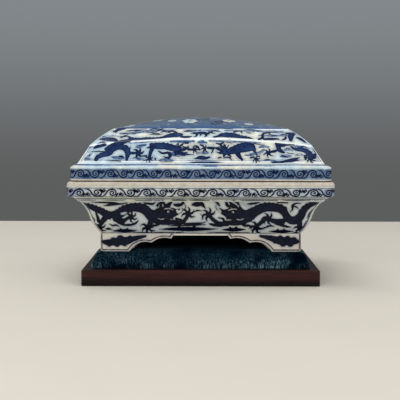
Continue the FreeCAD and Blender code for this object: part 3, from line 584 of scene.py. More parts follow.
leftFoot = drawn(
    "ink", [(-113.4, 11.6, 0.5), (-109, 10.4, 2), (-104, 10.6, 2.8), (-98, 11.4, 3.4), (-92.5, 12, 3.8),
     (-86, 12.2, 3.6), (-80, 13.8, 2.6), (-73.6, 15.6, 1.7), (-64, 17.8, 0.4)], [(-105.4, 9.2, 2.6)],
    [(-100.6, 12.8, 2.5)], [(-96.4, 9.2, 3)], [(-92.6, 14.4, 3.5)], [(-87.6, 9.9, 2.9)], [(-81.4, 14.2, 3)],
)
rightFoot = drawn(
    "ink", [(69, 18.2, 0.4), (77, 16.6, 1.7), (84, 14.8, 2.6), (91, 12.8, 3.6), (97, 12.2, 3.8),
     (104, 12, 3.6), (109.4, 12, 2.2), (112.6, 11.6, 0.6)], [(80, 16, 2.2)], [(86.4, 13, 2.8)],
    [(91.6, 14.8, 3.2)], [(95, 10, 3.2)], [(100, 14.6, 3)], [(103.4, 9.6, 3)], [(107.4, 13.4, 2.7)],
)
sideFoot = drawn(
    "ink", [(-63, 11, 0.5), (-58, 10.4, 2.4), (-53, 11, 3.4), (-47, 12.4, 3), (-40, 14.8, 1.8),
     (-32, 17.6, 0.4)], [(63, 11, 0.5), (58, 10.4, 2.4), (53, 11.2, 3.4), (47, 12.6, 3), (40, 15, 1.8),
     (32, 17.8, 0.4)], [(-56.6, 9.4, 2.4)], [(-52.4, 13.6, 2.8)], [(-49.4, 10, 2.6)], [(-44, 14.4, 2.2)],
    [(57, 9.4, 2.4)], [(53, 13.6, 2.8)], [(49.6, 10, 2.6)], [(44.4, 14.6, 2.2)],
)


def scrollBand(half, spacing, top, brush):
    # running scroll: a wave whose every crest and trough winds into a curl, with a small
    # curl and two leaves between; the hand's unevenness is a sine of the curl's number
    drawing = []
    count = int(round(2 * half / spacing))
    for number in range(count):
        uneven = 0.1 * math.sin(number * 2.4 + spacing)
        start = -half + (number + 0.1 + uneven * 0.5) * spacing
        flip = number % 2  # each other curl hangs from the top
        stem = [(-0.14, 0.02, 0.3), (0.08, 0.05, brush * 0.8), (0.24, 0.32, brush), (0.38, 0.78, brush)]
        angles = np.linspace(0, 3.1 * math.pi, 16)
        reach = 1 - angles / angles[-1] * 0.86
        wide, tall = 0.27 * (1 + uneven), 0.47
        stem += [(0.64 + wide * r * math.sin(a), 0.48 + tall * r * math.cos(a), brush * (1 - a * 0.03))
                 for a, r in zip(angles, reach)]
        turns = np.linspace(0, 1.8 * math.pi, 9)
        small = [(0.13 + 0.09 * math.cos(a) * (1 - a / 8), 0.72 + 0.24 * math.sin(a) * (1 - a / 8),
                  brush * 0.85)
                 for a in turns]
        leaf = [(-0.06, 0.99, 0.3), (0.0, 0.7, brush * 1.3), (0.1, 0.42, 0.3)]
        frond = [(0.8, 0.0, 0.3), (0.9, 0.16, brush * 1.2), (0.96, 0.4, brush)]
        for points in (stem, small, leaf, frond):
            spots = [(start + spacing * x, top * (1 - y if flip else y), w) for x, y, w in points]
            drawing += strokes("ink", spots)
    return drawing


# the porcelain body

body = {
    "sole": float(padHigh[2]),  # the feet stand on the pad
    "foot": 21.0,  # this and the heights below are above the soles
    "waistInset": 34.0,  # insets are in from the rim
    "waistCorner": 5.0,
    "neck": 60.5,
    "neckInset": 11.0,
    "ogee": 0.42,  # how strongly the wall curves both ways
    "collarFoot": 65.5,
    "ledge": 82.5,
    "lip": 87.5,
    "wall": 7.0,
    "floor": 29.0,
    "floorInset": 41.0,
    "footWall": 8.0,
    "legLong": 33.0,
    "legShort": 24.0,
    "waver": 0.22,  # unevenness of the hand-built walls
    "feetPaint": (1.1, 0.8),  # how much bolder the clouds on the feet are, on long and short sides
    "scroll": (18.5, 18.2),  # length of one curl with its stem, on long and short sides
}
boxFamily = ("box", "box_body", "porcelain_body")
halfRim = (bodyHigh[:2] - bodyLow[:2]) / 2
halfWaist = halfRim - body["waistInset"]
wallDrawings = [wallFront, wallSide, mirrored(wallFront), mirrored(wallSide)]


def wallInset(share):
    # in from the rim: a straight batter from waist to neck
    # plus one turn of a sine, which makes the double curve
    easy = share + body["ogee"] * np.sin(2 * np.pi * share) / (2 * np.pi)
    return between(body["waistInset"], body["neckInset"], easy)


def waver(points, amount, seed):
    # the small unevenness of hand-built clay: three slow waves over the surface, pushed outwards
    x, y, z = points[..., 0], points[..., 1], points[..., 2]
    push = np.sin(x / 31 + seed) * np.cos(z / 17 + seed) + 0.6 * np.sin(y / 23 + 2 * seed + z / 29)
    push = push + 0.4 * np.sin((x + y) / 11 + seed * 3)
    out = points[..., :2] / np.maximum(np.linalg.norm(points[..., :2], axis=-1, keepdims=True), 1)
    moved = points.copy()
    moved[..., :2] += out * (push * amount)[..., None]
    return moved


def paintSides(across, up, sides, drawings, **settings):
    # each side's own drawing, on that side's columns
    fields = {}
    for side, drawing in enumerate(drawings):
        columns = sides == side
        for name, values in paint(across[:, columns], up[:, columns], drawing, **settings).items():
            fields.setdefault(name, np.zeros(across.shape))[:, columns] = values
    return fields


def scrollsRound(half, spacings, tall, brush, up):
    # the running scroll of each side, raised to its place
    return [placed(scrollBand(long, step, tall, brush), 0, up) for long, step in zip(half, spacings)] * 2


def halfSide(sides, lengths, widths):
    # half the length of the side that each column belongs to
    return np.where(sides % 2 == 0, lengths, widths)


# the apron under a side: foot, two cusps and the middle's end, and how far each arc between them swells
scallops = {
    "long": [(83, 0), (57.15, 10.3), (34.05, 14.7), (28, 20.2)],
    "short": [(42, 0), (29.3, 10.3), (18, 14.7), (15, 20.2)],
    "swell": [0.18, 0.13, 0.2],
    "round": 3.4,  # of the foot's outer corner
}


def apronLine(points, end):
    # the apron's lower edge: each arc as a parabola over its chord, chord * (4 *
    # swell * share * (1 - share)) high; the third column is a brush of no width
    turn, corner = np.linspace(0, math.pi / 2, 5), scallops["round"]
    line = [np.column_stack([end - corner + corner * np.cos(turn), corner - corner * np.sin(turn)])]
    share = np.linspace(0, 1, 15)[:, None]
    for start, stop, swell in zip(points[:-1], points[1:], scallops["swell"]):
        start, chord = np.array(start, float), np.subtract(stop, start)
        line.append(start + chord * share
                    + np.array([chord[1], -chord[0]]) * 4 * swell * share * (1 - share))
    half = np.vstack(line)
    both = np.vstack([half * [-1, 1], half[::-1]])
    return np.column_stack([both, np.zeros(len(both))])


def makeFeet(material):
    # rings down the outside, round the sole and up the
    # inside: rise = foot - share * (foot - the apron's edge)
    outside, inside = np.linspace(0, 1, 30), np.linspace(1, 0, 9)
    under = np.array([0.7, 2, 4, 6, 7.3])
    pastSole = len(outside) + len(under)
    sole = slice(len(outside), pastSole)
    # past 1 a ring lies on the sole, and under 0 it is hidden in the basin
    drop = np.concatenate([outside, np.full(len(under), 1.02), inside, [-0.05, -0.05]])
    wall = body["footWall"]
    inset = np.concatenate([0 * outside, under, np.full(len(inside), wall), [wall, 1.5]])
    half = halfWaist[:, None] - inset
    corner = np.maximum(body["waistCorner"] - inset, 1.2)
    points, across, sides = ringsRound(half[0], half[1], corner, np.zeros(len(inset)), (330, 190), 6)
    edges = [apronLine(scallops["long"], halfWaist[0]), apronLine(scallops["short"], halfWaist[1])] * 2
    edge, gap = np.zeros(across.shape), np.zeros(across.shape)
    for side, line in enumerate(edges):
        columns = sides == side
        edge[:, columns] = np.interp(across[0, columns], line[:, 0], line[:, 1])[None]
    share = drop[:, None]
    rise = np.where(share > 1, edge, body["foot"] - np.clip(share, -1, 1) * (body["foot"] - edge))
    # the outside is drawn in, up to 0.8%, over the last millimetre above its edge
    roundOff = np.where(share > 1, 0, np.clip(1 - (rise - edge), 0, 1) ** 2) * 0.8
    points[..., 2] = body["sole"] + rise
    points[..., :2] *= (1 - roundOff / 100)[..., None]
    longPaint, shortPaint = body["feetPaint"]
    clouds = [bolder(leftFoot + rightFoot, longPaint), bolder(sideFoot, shortPaint)]
    fields = paintSides(across, rise, sides, clouds * 2)
    for side, line in enumerate(edges):
        columns = sides == side
        found = strokeGap(across[:, columns].ravel(), rise[:, columns].ravel(), line)[0]
        gap[:, columns] = found.reshape(-1, columns.sum())
    end = halfSide(sides, *halfWaist)[None] - np.abs(across)
    fields["frame"] = lineAt + (np.minimum(gap, end) - 2.0) * 0.55
    fields["bare"] = np.zeros(across.shape)
    fields["bare"][sole] = np.where(rise[sole] < 1, 1.0, 0.0)
    blankFields(fields, slice(len(outside), None))
    # painted shade on the insides of the feet
    fields["shade"] = np.zeros(across.shape)
    fields["shade"][pastSole:] = 1.0
    finishPiece(makeMesh("box_feet", waver(points, 0.1, 1.0), fields), boxFamily, material, 50)


def makeBasin(material):
    # underside, flared outer wall, top hidden in the collar, inner wall and floor
    outer, inner = np.linspace(0, 1, 54), np.linspace(1, 0, 12)
    floorShare = np.array([0.985, 0.95, 0.85, 0.6, 0.3, 0.1])
    sole = floorShare[::-1]
    lengths, widths = (np.concatenate([
        waist * sole, rim - wallInset(outer), [rim - 10.2, rim - 17.4],
        rim - (wallInset(inner) + body["wall"]), (rim - body["floorInset"]) * floorShare,
    ]) for rim, waist in zip(halfRim, halfWaist))
    height = body["neck"] - body["foot"]
    floorTop, wallFoot = body["sole"] + body["floor"], body["sole"] + body["foot"]
    innerHeight = floorTop + (wallFoot + height - floorTop) * inner
    heights = np.concatenate([np.full(len(sole), wallFoot), wallFoot + height * outer,
                              [wallFoot + height + 1.4] * 2, innerHeight,
                              np.full(len(floorShare), floorTop)])
    corner = np.concatenate([4.6 * sole, body["waistCorner"] + outer * 4, [9, 4.5],
                             np.full(len(inner), 3.6), 3 * floorShare])
    points, across, sides = ringsRound(lengths, widths, corner, heights, (330, 214), 7)
    up = points[..., 2] - wallFoot
    fields = paintSides(across, up, sides, wallDrawings)
    margin = halfSide(sides, lengths[:, None], widths[:, None]) - np.abs(across) - 3.8
    fields["ink"] = np.maximum(fields["ink"], 0.9 - margin)
    fields["frame"] = lineAt + np.minimum(margin, up - 0.2) * 0.6
    outside = slice(len(sole), len(sole) + len(outer))
    hidden = np.ones(len(lengths), bool)
    hidden[outside] = False
    blankFields(fields, hidden)
    # painted shade on the underside between the feet
    fields["shade"] = np.zeros(across.shape)
    fields["shade"][:len(sole)] = 1.0
    points[outside] = waver(points[outside], body["waver"], 2.0)
    poles = np.array([[0, 0, wallFoot], [0, 0, floorTop]])
    finishPiece(makeMesh("box_basin", points, fields, poles), boxFamily, material, 50)


def makeCollar(material):
    # cove, upright collar, ledge and inner lip, as one closed ring
    ledge, lip, neck, foot = body["ledge"], body["lip"], body["neck"], body["collarFoot"]
    section = [(13.4, neck - 1.5), (body["neckInset"] + 0.2, neck - 0.6),
               (body["neckInset"] - 0.4, neck + 0.4)]
    section += [(9.4, 62.4, 1), (7.2, 64.1, 1), (4.4, 65.1, 1), (2.2, foot, 1)]
    section += arc((2, foot + 2), 2, 270, 180, 3)
    section += [(0, ledge - 4, 0.62)]
    section += arc((4, ledge - 4), 4, 180, 90, 6)
    section += [(9.4, ledge, 1.4), (9.8, ledge + 0.5), (9.8, lip - 0.8, 2), (10.4, lip), (12.9, lip, 1.3),
                (13.5, lip - 0.7), (13.5, 74, 3), (16.6, 65, 3), (18, 60.5, 3), (17.4, 59.4)]
    line = profile(section)
    inset, level = line[:, 0], line[:, 1]
    corner = np.clip(9 - inset * 0.4, 3.5, 9)
    points, across, sides = ringsRound(halfRim[0] - inset, halfRim[1] - inset, corner,
                                       body["sole"] + level, (430, 288), 8)
    up = np.broadcast_to((level - foot)[:, None], across.shape)
    fields = paintSides(across, up, sides, scrollsRound(halfRim - 2, body["scroll"], 8.4, 0.88, 0.9))
    onFace = (inset < 4.2) & (level > foot - 0.1) & (level < ledge + 0.1)
    cornerWash = np.abs(across) - halfSide(sides, *halfRim)[None] + 13
    fields["wash"] = np.where((up > 0.6) & (up < 9.6), np.clip(-cornerWash, -0.5, 0.3), nothing["wash"])
    # the wall's drawing runs on up the cove
    cove = (level > 60) & (level < foot - 0.1) & (inset < 12)
    aboveFeet = up[cove] + foot - body["foot"]
    for name, values in paintSides(across[cove], aboveFeet, sides, wallDrawings).items():
        fields[name][cove] = values
    ruled = np.minimum(np.abs(up - 10.2), np.abs(up - 0.5))
    fields["frame"] = np.where(cove[:, None], np.abs(up + 2.4) * 0.8, ruled) + lineAt
    blankFields(fields, ~(onFace | cove))
    fields["bare"] = np.clip((up - 11.4) / 0.9, 0, 1) * (inset < 10)[:, None]
    points[onFace] = waver(points[onFace], 0.12, 3.0)
    finishPiece(makeMesh("box_collar", points, fields), boxFamily, material, 50)


divider = {
    "place": 55.0,  # right of the middle
    "thick": 6.0,
    "tall": 26.0,
    "reach": 66.5,  # half its length at the foot
    "flare": 9.5,  # and how much more at the top
}


def makeDivider(material):
    # partition between the bays: a slab with a half-round top, its ends and foot let into the wall and floor
    half, tall = divider["thick"] / 2, divider["tall"]
    turn = np.linspace(0, math.pi, 11)
    across = np.concatenate([[half], half * np.cos(turn), [-half]])
    rise = np.concatenate([[0], tall - half + half * np.sin(turn), [0]])
    run = np.linspace(-1, 1, 25)[:, None]
    x = divider["place"] + across + 0 * run
    y = run * (divider["reach"] + divider["flare"] * rise / tall)
    z = body["sole"] + body["floor"] - 0.5 + rise + 0 * run
    poles = np.array([[divider["place"], y[end].mean(), z[end].mean()] for end in (0, -1)])
    fields = {name: np.full(x.shape, empty) for name, empty in nothing.items()}
    finishPiece(makeMesh("box_divider", np.stack([x, y, z], -1), fields, poles), boxFamily, material, 60)


# the porcelain cover

cover = {
    "seat": float(coverLow[2]),
    "band": 16.5,  # this and the heights below are above the seat
    "ledgeInset": 8.0,  # insets are in from the edge
    "ledge": 20.0,
    "shoulderInset": 20.5,
    "shoulder": 40.0,
    "shoulderRise": 8.5,  # how much higher a crease is in the middle of a long side
    "panelInset": 46.0,
    "panel": 59.0,
    "panelRise": 3.0,
    "swell": 1.5,
    "crown": 72.0,
    "roof": 5.5,
    "wall": 5.5,
    "waver": 0.15,
    "scroll": (16.2, 16.0),
    "creaseTall": 30,  # each slope is painted by its height between its creases, from 0 to this
    "cobaltEdge": 29.6,  # on that scale, where the crown's cobalt ends at a corner
    "cobaltDip": 8.6,  # and how much lower in the middle of a side
    "footLine": 4.2,  # a line above the dome's foot
}
coverFamily = ("cover", "box_cover", "porcelain_cover")
halfCover = (coverHigh[:2] - coverLow[:2]) / 2

steepFront = drawn(
    "body", [(-117.6, 5, 1.8), (-115.8, 9, 3), (-110.5, 12.6, 3.6), (-104.5, 13.8, 3.9), (-101, 18, 3.9),
     (-96.6, 21.6, 3.9), (-90.4, 22.4, 3.8), (-85, 20, 3.8), (-82.4, 15, 3.4), (-82.6, 10, 2.4),
     (-83.4, 5.4, 1.4)],
    "ink", [(-120.4, 24.6, 1.6), (-115, 26.8, 3.1), (-108, 27.4, 1.6)], [(-92, 9.6, 1), (-89, 9.4, 1.6),
     (-86.6, 8.4, 0.8)], [(-79, 13.6, 2), (-74, 13.4, 1.8)], [(-104, 3.8, 0.5), (-97, 3.8, 0.9),
     (-90, 3.2, 0.8)], [(-105, 24.6, 0.8), (-103, 22, 0.9)], [(-79.6, 21, 1)],
    bolder(dragonFoot(-70.5, 13.2, 0.9, 180), 0.35), [(-54, 21, 3), (-56.4, 14, 2.2), (-57.6, 8, 2)],
    [(-60, 19.6, 1.1), (-56.6, 20.6, 1.4)], [(-65.4, 9.2, 0.9), (-61, 9.6, 1.3)],
    [(-51.4, 6.8, 0.9), (-50.6, 3.8, 0.7)], [(-64, 4.2, 0.8), (-60, 4.4, 0.9)],
    dragonFoot(-57.5, 6, 0.68, 85),
    "body", [(-56.5, 23.4, 1.8), (-50, 21.4, 3.9), (-42, 21, 4), (-35, 19.4, 4), (-29, 17.2, 3.6)],
    placed(dragonHead, -21.6, 16.4, 0.5, 1),
    "ink", [(-26, 14.6, 1.6), (-20.4, 11.6, 2), (-18.4, 9.6, 0.8)], [(-17.6, 24, 1.3), (-14.4, 24.2, 1.1)],
    [(-14, 16.6, 1.5), (-9, 16.4, 1.4)], [(-7, 20.8, 1), (-3.6, 19.6, 1.4), (-1.4, 16, 1)],
    [(-48, 15.4, 0.7), (-43, 12.4, 1.4), (-36, 13, 1.5), (-33.6, 9.6, 1.4), (-36, 6.6, 1.1),
     (-40, 6.8, 0.5)], [(-36.4, 11.4, 0.7), (-35.6, 9, 0.9)], dragonFoot(-7, 16.4, 0.7, 180),
    [(-6.4, 5.6, 0.7), (-3, 6.8, 1.8), (1, 7, 2.4), (6, 6.6, 1.8), (9.6, 7.6, 1.2)],
    [(-1, 22, 0.9), (3, 21.6, 0.7)], dragonFoot(4.5, 17.4, 0.7, 0), [(14, 18, 1.9), (8, 18.4, 1.6)],
    [(12, 12.6, 0.8), (13.6, 15.4, 1)], placed(dragonHead, 22.6, 16.6, 0.44, -1),
    "body", [(26, 13.6, 3.2), (32, 14.4, 3.6), (38, 16.4, 4.8), (45, 18.8, 5.6), (52, 20.2, 5.8),
     (57.4, 20.2, 4.2), (61, 14.6, 0.9)],
    "ink", [(17.6, 23.8, 0.9), (22, 23.2, 1.3), (26, 25.4, 0.8)], [(41, 13, 3.2), (43.4, 8.8, 2.3),
     (46.4, 4.6, 1.3)], [(27, 11, 1.8), (25.6, 8.4, 1)], [(31, 11, 1.6), (34, 8.6, 0.9)],
    [(55, 25.6, 0.5), (62, 25, 0.5)], [(66, 9.6, 0.9), (62, 8.4, 0.8)], [(56, 7.4, 1), (59.6, 8.6, 1)],
    dragonFoot(62.4, 5.6, 0.68, 80), [(84, 17, 2), (79, 15.4, 1.6)], dragonFoot(76.4, 14, 0.85, 10),
    "body", [(85, 26.6, 1.6), (87, 22.4, 2.4), (88.6, 18.4, 2.8), (92.5, 15.4, 1.6)],
    "ink", [(87, 26, 1.3), (91, 24.2, 1.3), (94.6, 24.2, 0.7)], [(98, 27.6, 0.4), (101, 28, 0.5)],
    [(116.6, 10.4, 1.2), (117, 6.4, 0.9)], [(125, 19, 0.6), (124.6, 15.4, 0.9)],
    [(127, 12.4, 1.5), (127.4, 8.4, 1)],
    "body", [(101.4, 24.6, 0.8), (106, 21.6, 2.2), (112, 21.2, 3.2), (117.4, 20.4, 3.6), (121.6, 16.4, 3.8),
     (123.6, 11, 3.6)], dragonFoot(123.4, 7.4, 0.85, 90),
    "ink", [(117.6, 12, 2), (117.4, 6.6, 1.2)], [(127.6, 14.6, 2.2), (128.6, 9.4, 1.3)],
    [(86, 26.4, 1.8), (91, 26, 2.2), (97, 26.6, 1.4), (105, 28.2, 0.5)], [(79, 1.8, 0.5), (90, 2.6, 1.3),
     (99, 4.8, 2.1), (106, 7.2, 1.7), (111, 9.2, 0.5)],
    "wash", [(90, 10, 1), (96, 10.6, 2.4), (101.5, 11, 0.8)], [(-130, 6, 1), (-127, 11, 2), (-123, 16, 1)],
    [(-130, 22, 1), (-126, 27, 2), (-120, 29, 1)], [(-48, 3.6, 0.8), (-40, 4.6, 1.8), (-31, 4, 0.8)],
    [(66, 2.6, 0.8), (78, 3.4, 1.8), (88, 3, 0.8)], [(-22, 2.4, 0.8), (2, 2.2, 2), (26, 2.4, 0.8)],
    [(-34, 26.6, 1.4), (-22, 27.4, 2.8), (-8, 26, 1.4)], [(10, 27, 1.4), (30, 27.6, 2.4), (66, 27.6, 2)],
    [(-80, 26.8, 1), (-66, 28.4, 2.4), (-52, 28, 1)], [(98, 26.6, 1), (110, 27, 2.4), (122, 24.6, 1.2)],
    [(56, 12, 1), (66, 13.6, 2.4), (71, 18, 1)], [(-100, 9, 1), (-94, 7.4, 2.6), (-86, 6.6, 1)],
    [(-73, 20.6, 1), (-68, 22, 2.2), (-62, 23.6, 1)], [(-73, 6.6, 1), (-69, 6, 2), (-65, 5.6, 1)],
    [(-34, 12, 2), (-26, 10.6, 3), (-16, 11.6, 2)], [(-4, 24.6, 1), (1, 25.6, 2), (6, 24.6, 1)],
    [(-4, 12, 1.4), (2, 12.6, 2), (8, 12.6, 1.4)], [(66, 20.6, 1), (71, 22.6, 2), (76, 21.6, 1)],
    [(94, 19, 1.4), (98.6, 20.6, 2.2), (103, 18.6, 1)], [(106, 12, 1), (111, 13.6, 2), (115, 12.6, 1)],
    [(50, 10, 1), (55, 10.6, 1.6), (60, 11.4, 1)], cloud(101, 4, 21, 3.6, 8),
    "ink", [(-124, 18.6, 0.5), (-117, 18.4, 0.9), (-109, 17.4, 0.8), (-104, 18.6, 0.4)],
    [(-73, 23, 0.4), (-68, 23.4, 0.6), (-63, 22.6, 0.4)], [(-90, 27.6, 0.6), (-85, 29.2, 1.2),
     (-80, 28.2, 0.6)], [(-42, 8.6, 0.6), (-39, 7.4, 0.9), (-36, 8, 0.5)], [(-22, 9.4, 0.5),
     (-15, 10.6, 0.9), (-8, 10.4, 0.4)], [(-14, 0.6, 0.5), (-5, 1, 1.3), (5, 0.6, 1.7), (14, 1, 1.3),
     (24, 0.6, 0.5)], [(-46, 2.8, 0.3), (-38, 2.4, 0.6), (-31, 3, 0.3)], [(28, 25.2, 0.4), (36, 24.6, 0.6)],
    [(61, 25.2, 0.5), (66, 24.4, 0.7), (70, 24.2, 0.3)], [(19.6, 6.6, 0.8), (22.6, 7.4, 1)],
    [(26, 7, 0.6), (31, 7.6, 1), (34.6, 4.6, 0.6)], [(80, 1, 0.4), (86, 1.6, 0.9), (93, 1.4, 0.4)],
    [(61.6, 13.8, 0.6), (63, 10.6, 0.9)], [(96, 15.4, 0.5), (101, 14.4, 0.7), (106, 14.8, 0.3)],
    [(90, 12.4, 0.6), (94, 10, 1), (100, 9.4, 0.5)], [(113, 25.6, 0.6), (116, 27, 0.9), (119, 25.6, 0.5)],
    [(-128, 6, 0.5), (-126, 7, 1), (-123, 6.4, 0.4)], [(-106, 21, 3), (-99, 26, 3.6), (-90, 28.6, 3.4),
     (-82, 31, 2.4)], [(-114, 29, 0.8), (-108, 31, 1.4)], [(127, 24, 0.4), (129, 19, 0.8), (130.6, 14, 0.4)],
    [(70, 4, 0.4), (75, 5.6, 0.8), (80, 5, 0.3)], [(-77, 6, 0.4), (-73, 8, 0.7), (-70, 6, 0.3)],
)
steepSide = bolder(drawn(
    "body", [(-74, 5, 1.4), (-71, 10, 3), (-65, 13.6, 3.6), (-58, 15, 3.6), (-52, 19.6, 3.8), (-45, 22, 4),
     (-37, 20, 4.2)], placed(dragonHead, -28, 16.4, 0.62, 1),
    "ink", [(-22, 10, 1.8), (-15, 11, 1.4)], [(-42, 15, 2.4), (-44, 9, 1.8)], [(-66, 10, 2), (-62, 7, 1.4)],
    [(22, 9.4, 1.8), (17, 9, 1.4)], [(50, 16, 2.4), (51, 10, 1.8)], [(-56, 26.6, 0.5), (-48, 27.8, 1.2),
     (-38, 26.8, 0.5)], [(34, 26.4, 0.5), (42, 27.6, 1.2), (52, 27, 0.5)], [(-34, 4.6, 0.5), (-29, 6.4, 1.3),
     (-24, 4.6, 0.5)], [(32, 5, 0.5), (37, 6.6, 1.3), (42, 5, 0.5)], [(-8, 19.6, 0.5), (-3, 21, 1),
     (2, 20, 0.5)], [(60, 9.6, 0.5), (63.6, 12, 1.3), (65, 8, 0.5)], dragonFoot(-11, 12.4, 0.8, 190),
    dragonFoot(-45, 6.4, 0.76, 85), dragonFoot(-60, 5.6, 0.64, 150), pearl(3, 14, 2.8),
    "body", [(74, 5, 1.4), (71, 10, 3), (66, 15, 3.4), (60, 20, 3.6), (52, 22, 3.8), (44, 19, 4),
     (37, 15, 4.2)], placed(dragonHead, 29, 15, 0.62, -1), dragonFoot(14, 8, 0.74, 0),
    dragonFoot(52, 6.6, 0.8, 95), cloud(0, 3.4, 26, 2.8), cloud(-66, 24, 16, 3), cloud(70, 24.6, 14, 2.6),
    cloud(2, 25.4, 20, 2.6),
    "wash", [(-60, 2, 1), (-40, 2.4, 1.6), (-20, 2, 1)], [(20, 2, 1), (40, 2.4, 1.6), (60, 2, 1)],
    [(-30, 27, 1), (-10, 28, 2), (12, 27.6, 2), (30, 27, 1)],
), 0.3)
upperFront = drawn(
    "ink", [(-114, 8, 1.4), (-107, 7, 3.1), (-100, 5, 3.1), (-95, 2, 1.4)], [(-98, 19, 1), (-97, 24, 1.8),
     (-95.6, 28, 1)], [(-92, 6, 0.5), (-88, 9, 1.3), (-83, 11.4, 0.6)], [(-84, 19.6, 0.5), (-74, 21.4, 1.2),
     (-62, 20.6, 0.5)], [(-58, 9, 0.5), (-52, 11, 1.2), (-47, 9.4, 0.5)],
    "body", [(-83, 7.6, 1), (-78, 3.6, 2), (-70, 1.6, 2), (-60, 1.8, 1.9), (-52, 1.6, 1.3), (-44, 2.2, 1.6),
     (-38, 4.4, 2.8), (-30, 6.4, 4.4), (-24, 6, 3.2)],
    "ink", [(-37, 12, 1.3), (-33, 14.6, 1.6), (-28, 12, 1.1)], [(-46, 12.6, 0.5), (-41, 15, 1.5),
     (-35, 14.6, 0.7)], [(-22, 2.4, 1.6), (-15, 1.8, 1.8), (-11, 2.8, 0.7)], [(-20, 12, 0.5),
     (-15, 14.6, 1.3), (-10, 12.6, 0.5)], [(-7.6, 8.6, 1.6), (-3, 9.6, 2.5), (3, 9.8, 2.7), (8, 8, 1.8)],
    [(-8, 10.6, 0.8), (-10.6, 8.4, 0.6)], [(-4, 8, 1.5), (-5.4, 3.4, 0.9), (-8, 2.6, 0.5)],
    [(5, 8, 1.6), (6.4, 3.8, 1), (4.4, 2.4, 0.6)], [(0, 8, 1.1), (-0.6, 4.6, 0.7)],
    [(8, 9, 1), (12, 11.6, 0.8), (14, 9.4, 0.4)], [(15, 2, 1.2), (19, 3.4, 1.8), (23, 5, 2.2)],
    [(10, 12.6, 0.5), (16, 14.4, 1.3), (22, 12.6, 0.5)],
    "body", [(24, 6, 3.4), (30, 6.6, 4.5), (37, 6, 4.3), (45, 4, 2.7), (52, 3.2, 2), (58, 1.8, 0.6)],
    "ink", [(66, 1.6, 1.5), (70, 5, 1.5), (70.6, 11, 1.3), (74, 15.4, 1.2), (79, 16.8, 0.9), (88, 17.8, 0.6),
     (98, 19.4, 0.4)], [(72, 2.4, 1.8), (80, 4, 2), (88, 4.8, 1.1)], [(101.8, 4.6, 1.8), (102.4, 10, 3),
     (104, 15.6, 3.2), (108.6, 20.6, 1.6)], [(98.6, 17.4, 1.6), (102.6, 18, 2.6)],
    [(109.6, 11, 1.2), (113.4, 9, 2.2), (118, 4.6, 1.2)], [(92, 3.4, 0.6), (96, 6.6, 1.4), (97, 11, 0.6)],
    [(50, 19.6, 0.5), (58, 21, 1.1), (66, 20, 0.5)], [(-28, 20.6, 0.5), (-18, 21.8, 1.1), (-8, 21, 0.5)],
    [(10, 21, 0.5), (22, 21.8, 1.1), (36, 20.4, 0.5)],
    "wash", [(-92, 15, 1.4), (-70, 16, 2.6), (-50, 18, 2.6), (-30, 18, 1.4)], [(28, 16, 1.4),
     (50, 17.4, 2.6), (74, 19, 2.6), (94, 22, 1.4)], [(37, 11, 1.2), (39, 14.4, 1.4), (43, 16, 1.2)],
    [(66, 8, 1), (80, 10, 2), (98, 12, 1)], [(-20, 17, 1), (0, 16, 2), (20, 17, 1)],
    [(-112, 12, 1), (-104, 13.4, 2), (-98, 12, 1)],
    "ink", [(-92, 17, 0.4), (-88, 14.6, 0.9), (-83, 14.2, 0.5)], [(-96, 9.8, 0.4), (-89, 8.8, 0.8),
     (-82, 7.4, 0.4)], [(-82, 14, 0.4), (-76, 12.6, 0.8), (-73.6, 15, 0.5)], [(-64, 15.6, 0.4),
     (-58, 13.4, 0.9), (-52, 14.4, 0.7), (-46, 18.6, 1), (-41, 16, 0.7), (-40, 12, 0.5)],
    [(-56, 9, 0.4), (-50, 8, 0.7), (-44, 8.8, 0.4)], [(-16, 12, 0.4), (-11, 14, 0.9), (-6, 13.6, 0.5)],
    [(8.6, 13.6, 0.5), (10.6, 10.6, 1), (15.6, 8.6, 0.5)], [(38, 13, 0.9), (42, 15.6, 1.2), (46, 15, 0.8),
     (47, 11, 0.5)], [(52, 13, 0.4), (55, 12.6, 0.9), (58, 13, 0.4)], [(74, 13.6, 0.5), (78, 15, 0.9),
     (80, 11.4, 0.7), (86, 10.8, 0.7)], [(-108, 0.4, 0.6), (-112, 2.4, 1.6), (-116, 1.6, 0.6)],
    [(-96, -1, 2.2), (-89, 0.2, 2.6), (-82, 1.4, 2.2), (-76, 2.2, 1.4)], [(-100, 21.6, 1.8), (-95, 25, 3),
     (-89, 27.4, 2.2)], [(-86, 19.6, 0.5), (-80, 21.6, 1), (-74, 19, 0.9), (-68, 20.6, 0.5)],
    [(-60, 20, 0.4), (-54, 22.4, 0.9), (-48, 20.4, 0.8), (-43, 22, 0.4)], [(90, 13, 0.5), (95, 15, 1),
     (99, 13.6, 0.5)],
)
upperSide = bolder(drawn(
    cloud(-52, 6, 20, 3.6), cloud(50, 6, 18, 3.6),
    "body", [(-40, 4, 1), (-33, 8, 2.6), (-25, 9, 3.2), (-17, 6.6, 3)], [(40, 4, 1), (33, 9, 2.6),
     (24, 9.6, 3.2), (17, 7, 3)],
    "ink", [(-6, 8, 1.2), (-2, 9.4, 2.2), (3, 9.4, 2.2), (7, 7.6, 1.2)], [(-2, 8, 1.2), (-4, 3, 0.6)],
    [(4, 8, 1.2), (5, 3, 0.6)], cloud(-30, 19, 22, 3), cloud(28, 19, 22, 3), cloud(0, 21, 16, 2.4),
    [(-60, 14, 0.5), (-53, 16, 1.3), (-46, 14.6, 0.5)], [(46, 14.6, 0.5), (54, 16.4, 1.3), (60, 14, 0.5)],
    [(-14, 14.6, 0.5), (-9, 16, 1), (-4, 15, 0.4)],
    "wash", [(-50, 11, 1), (-20, 14, 2), (20, 14, 2), (50, 11, 1)],
), 0.3)


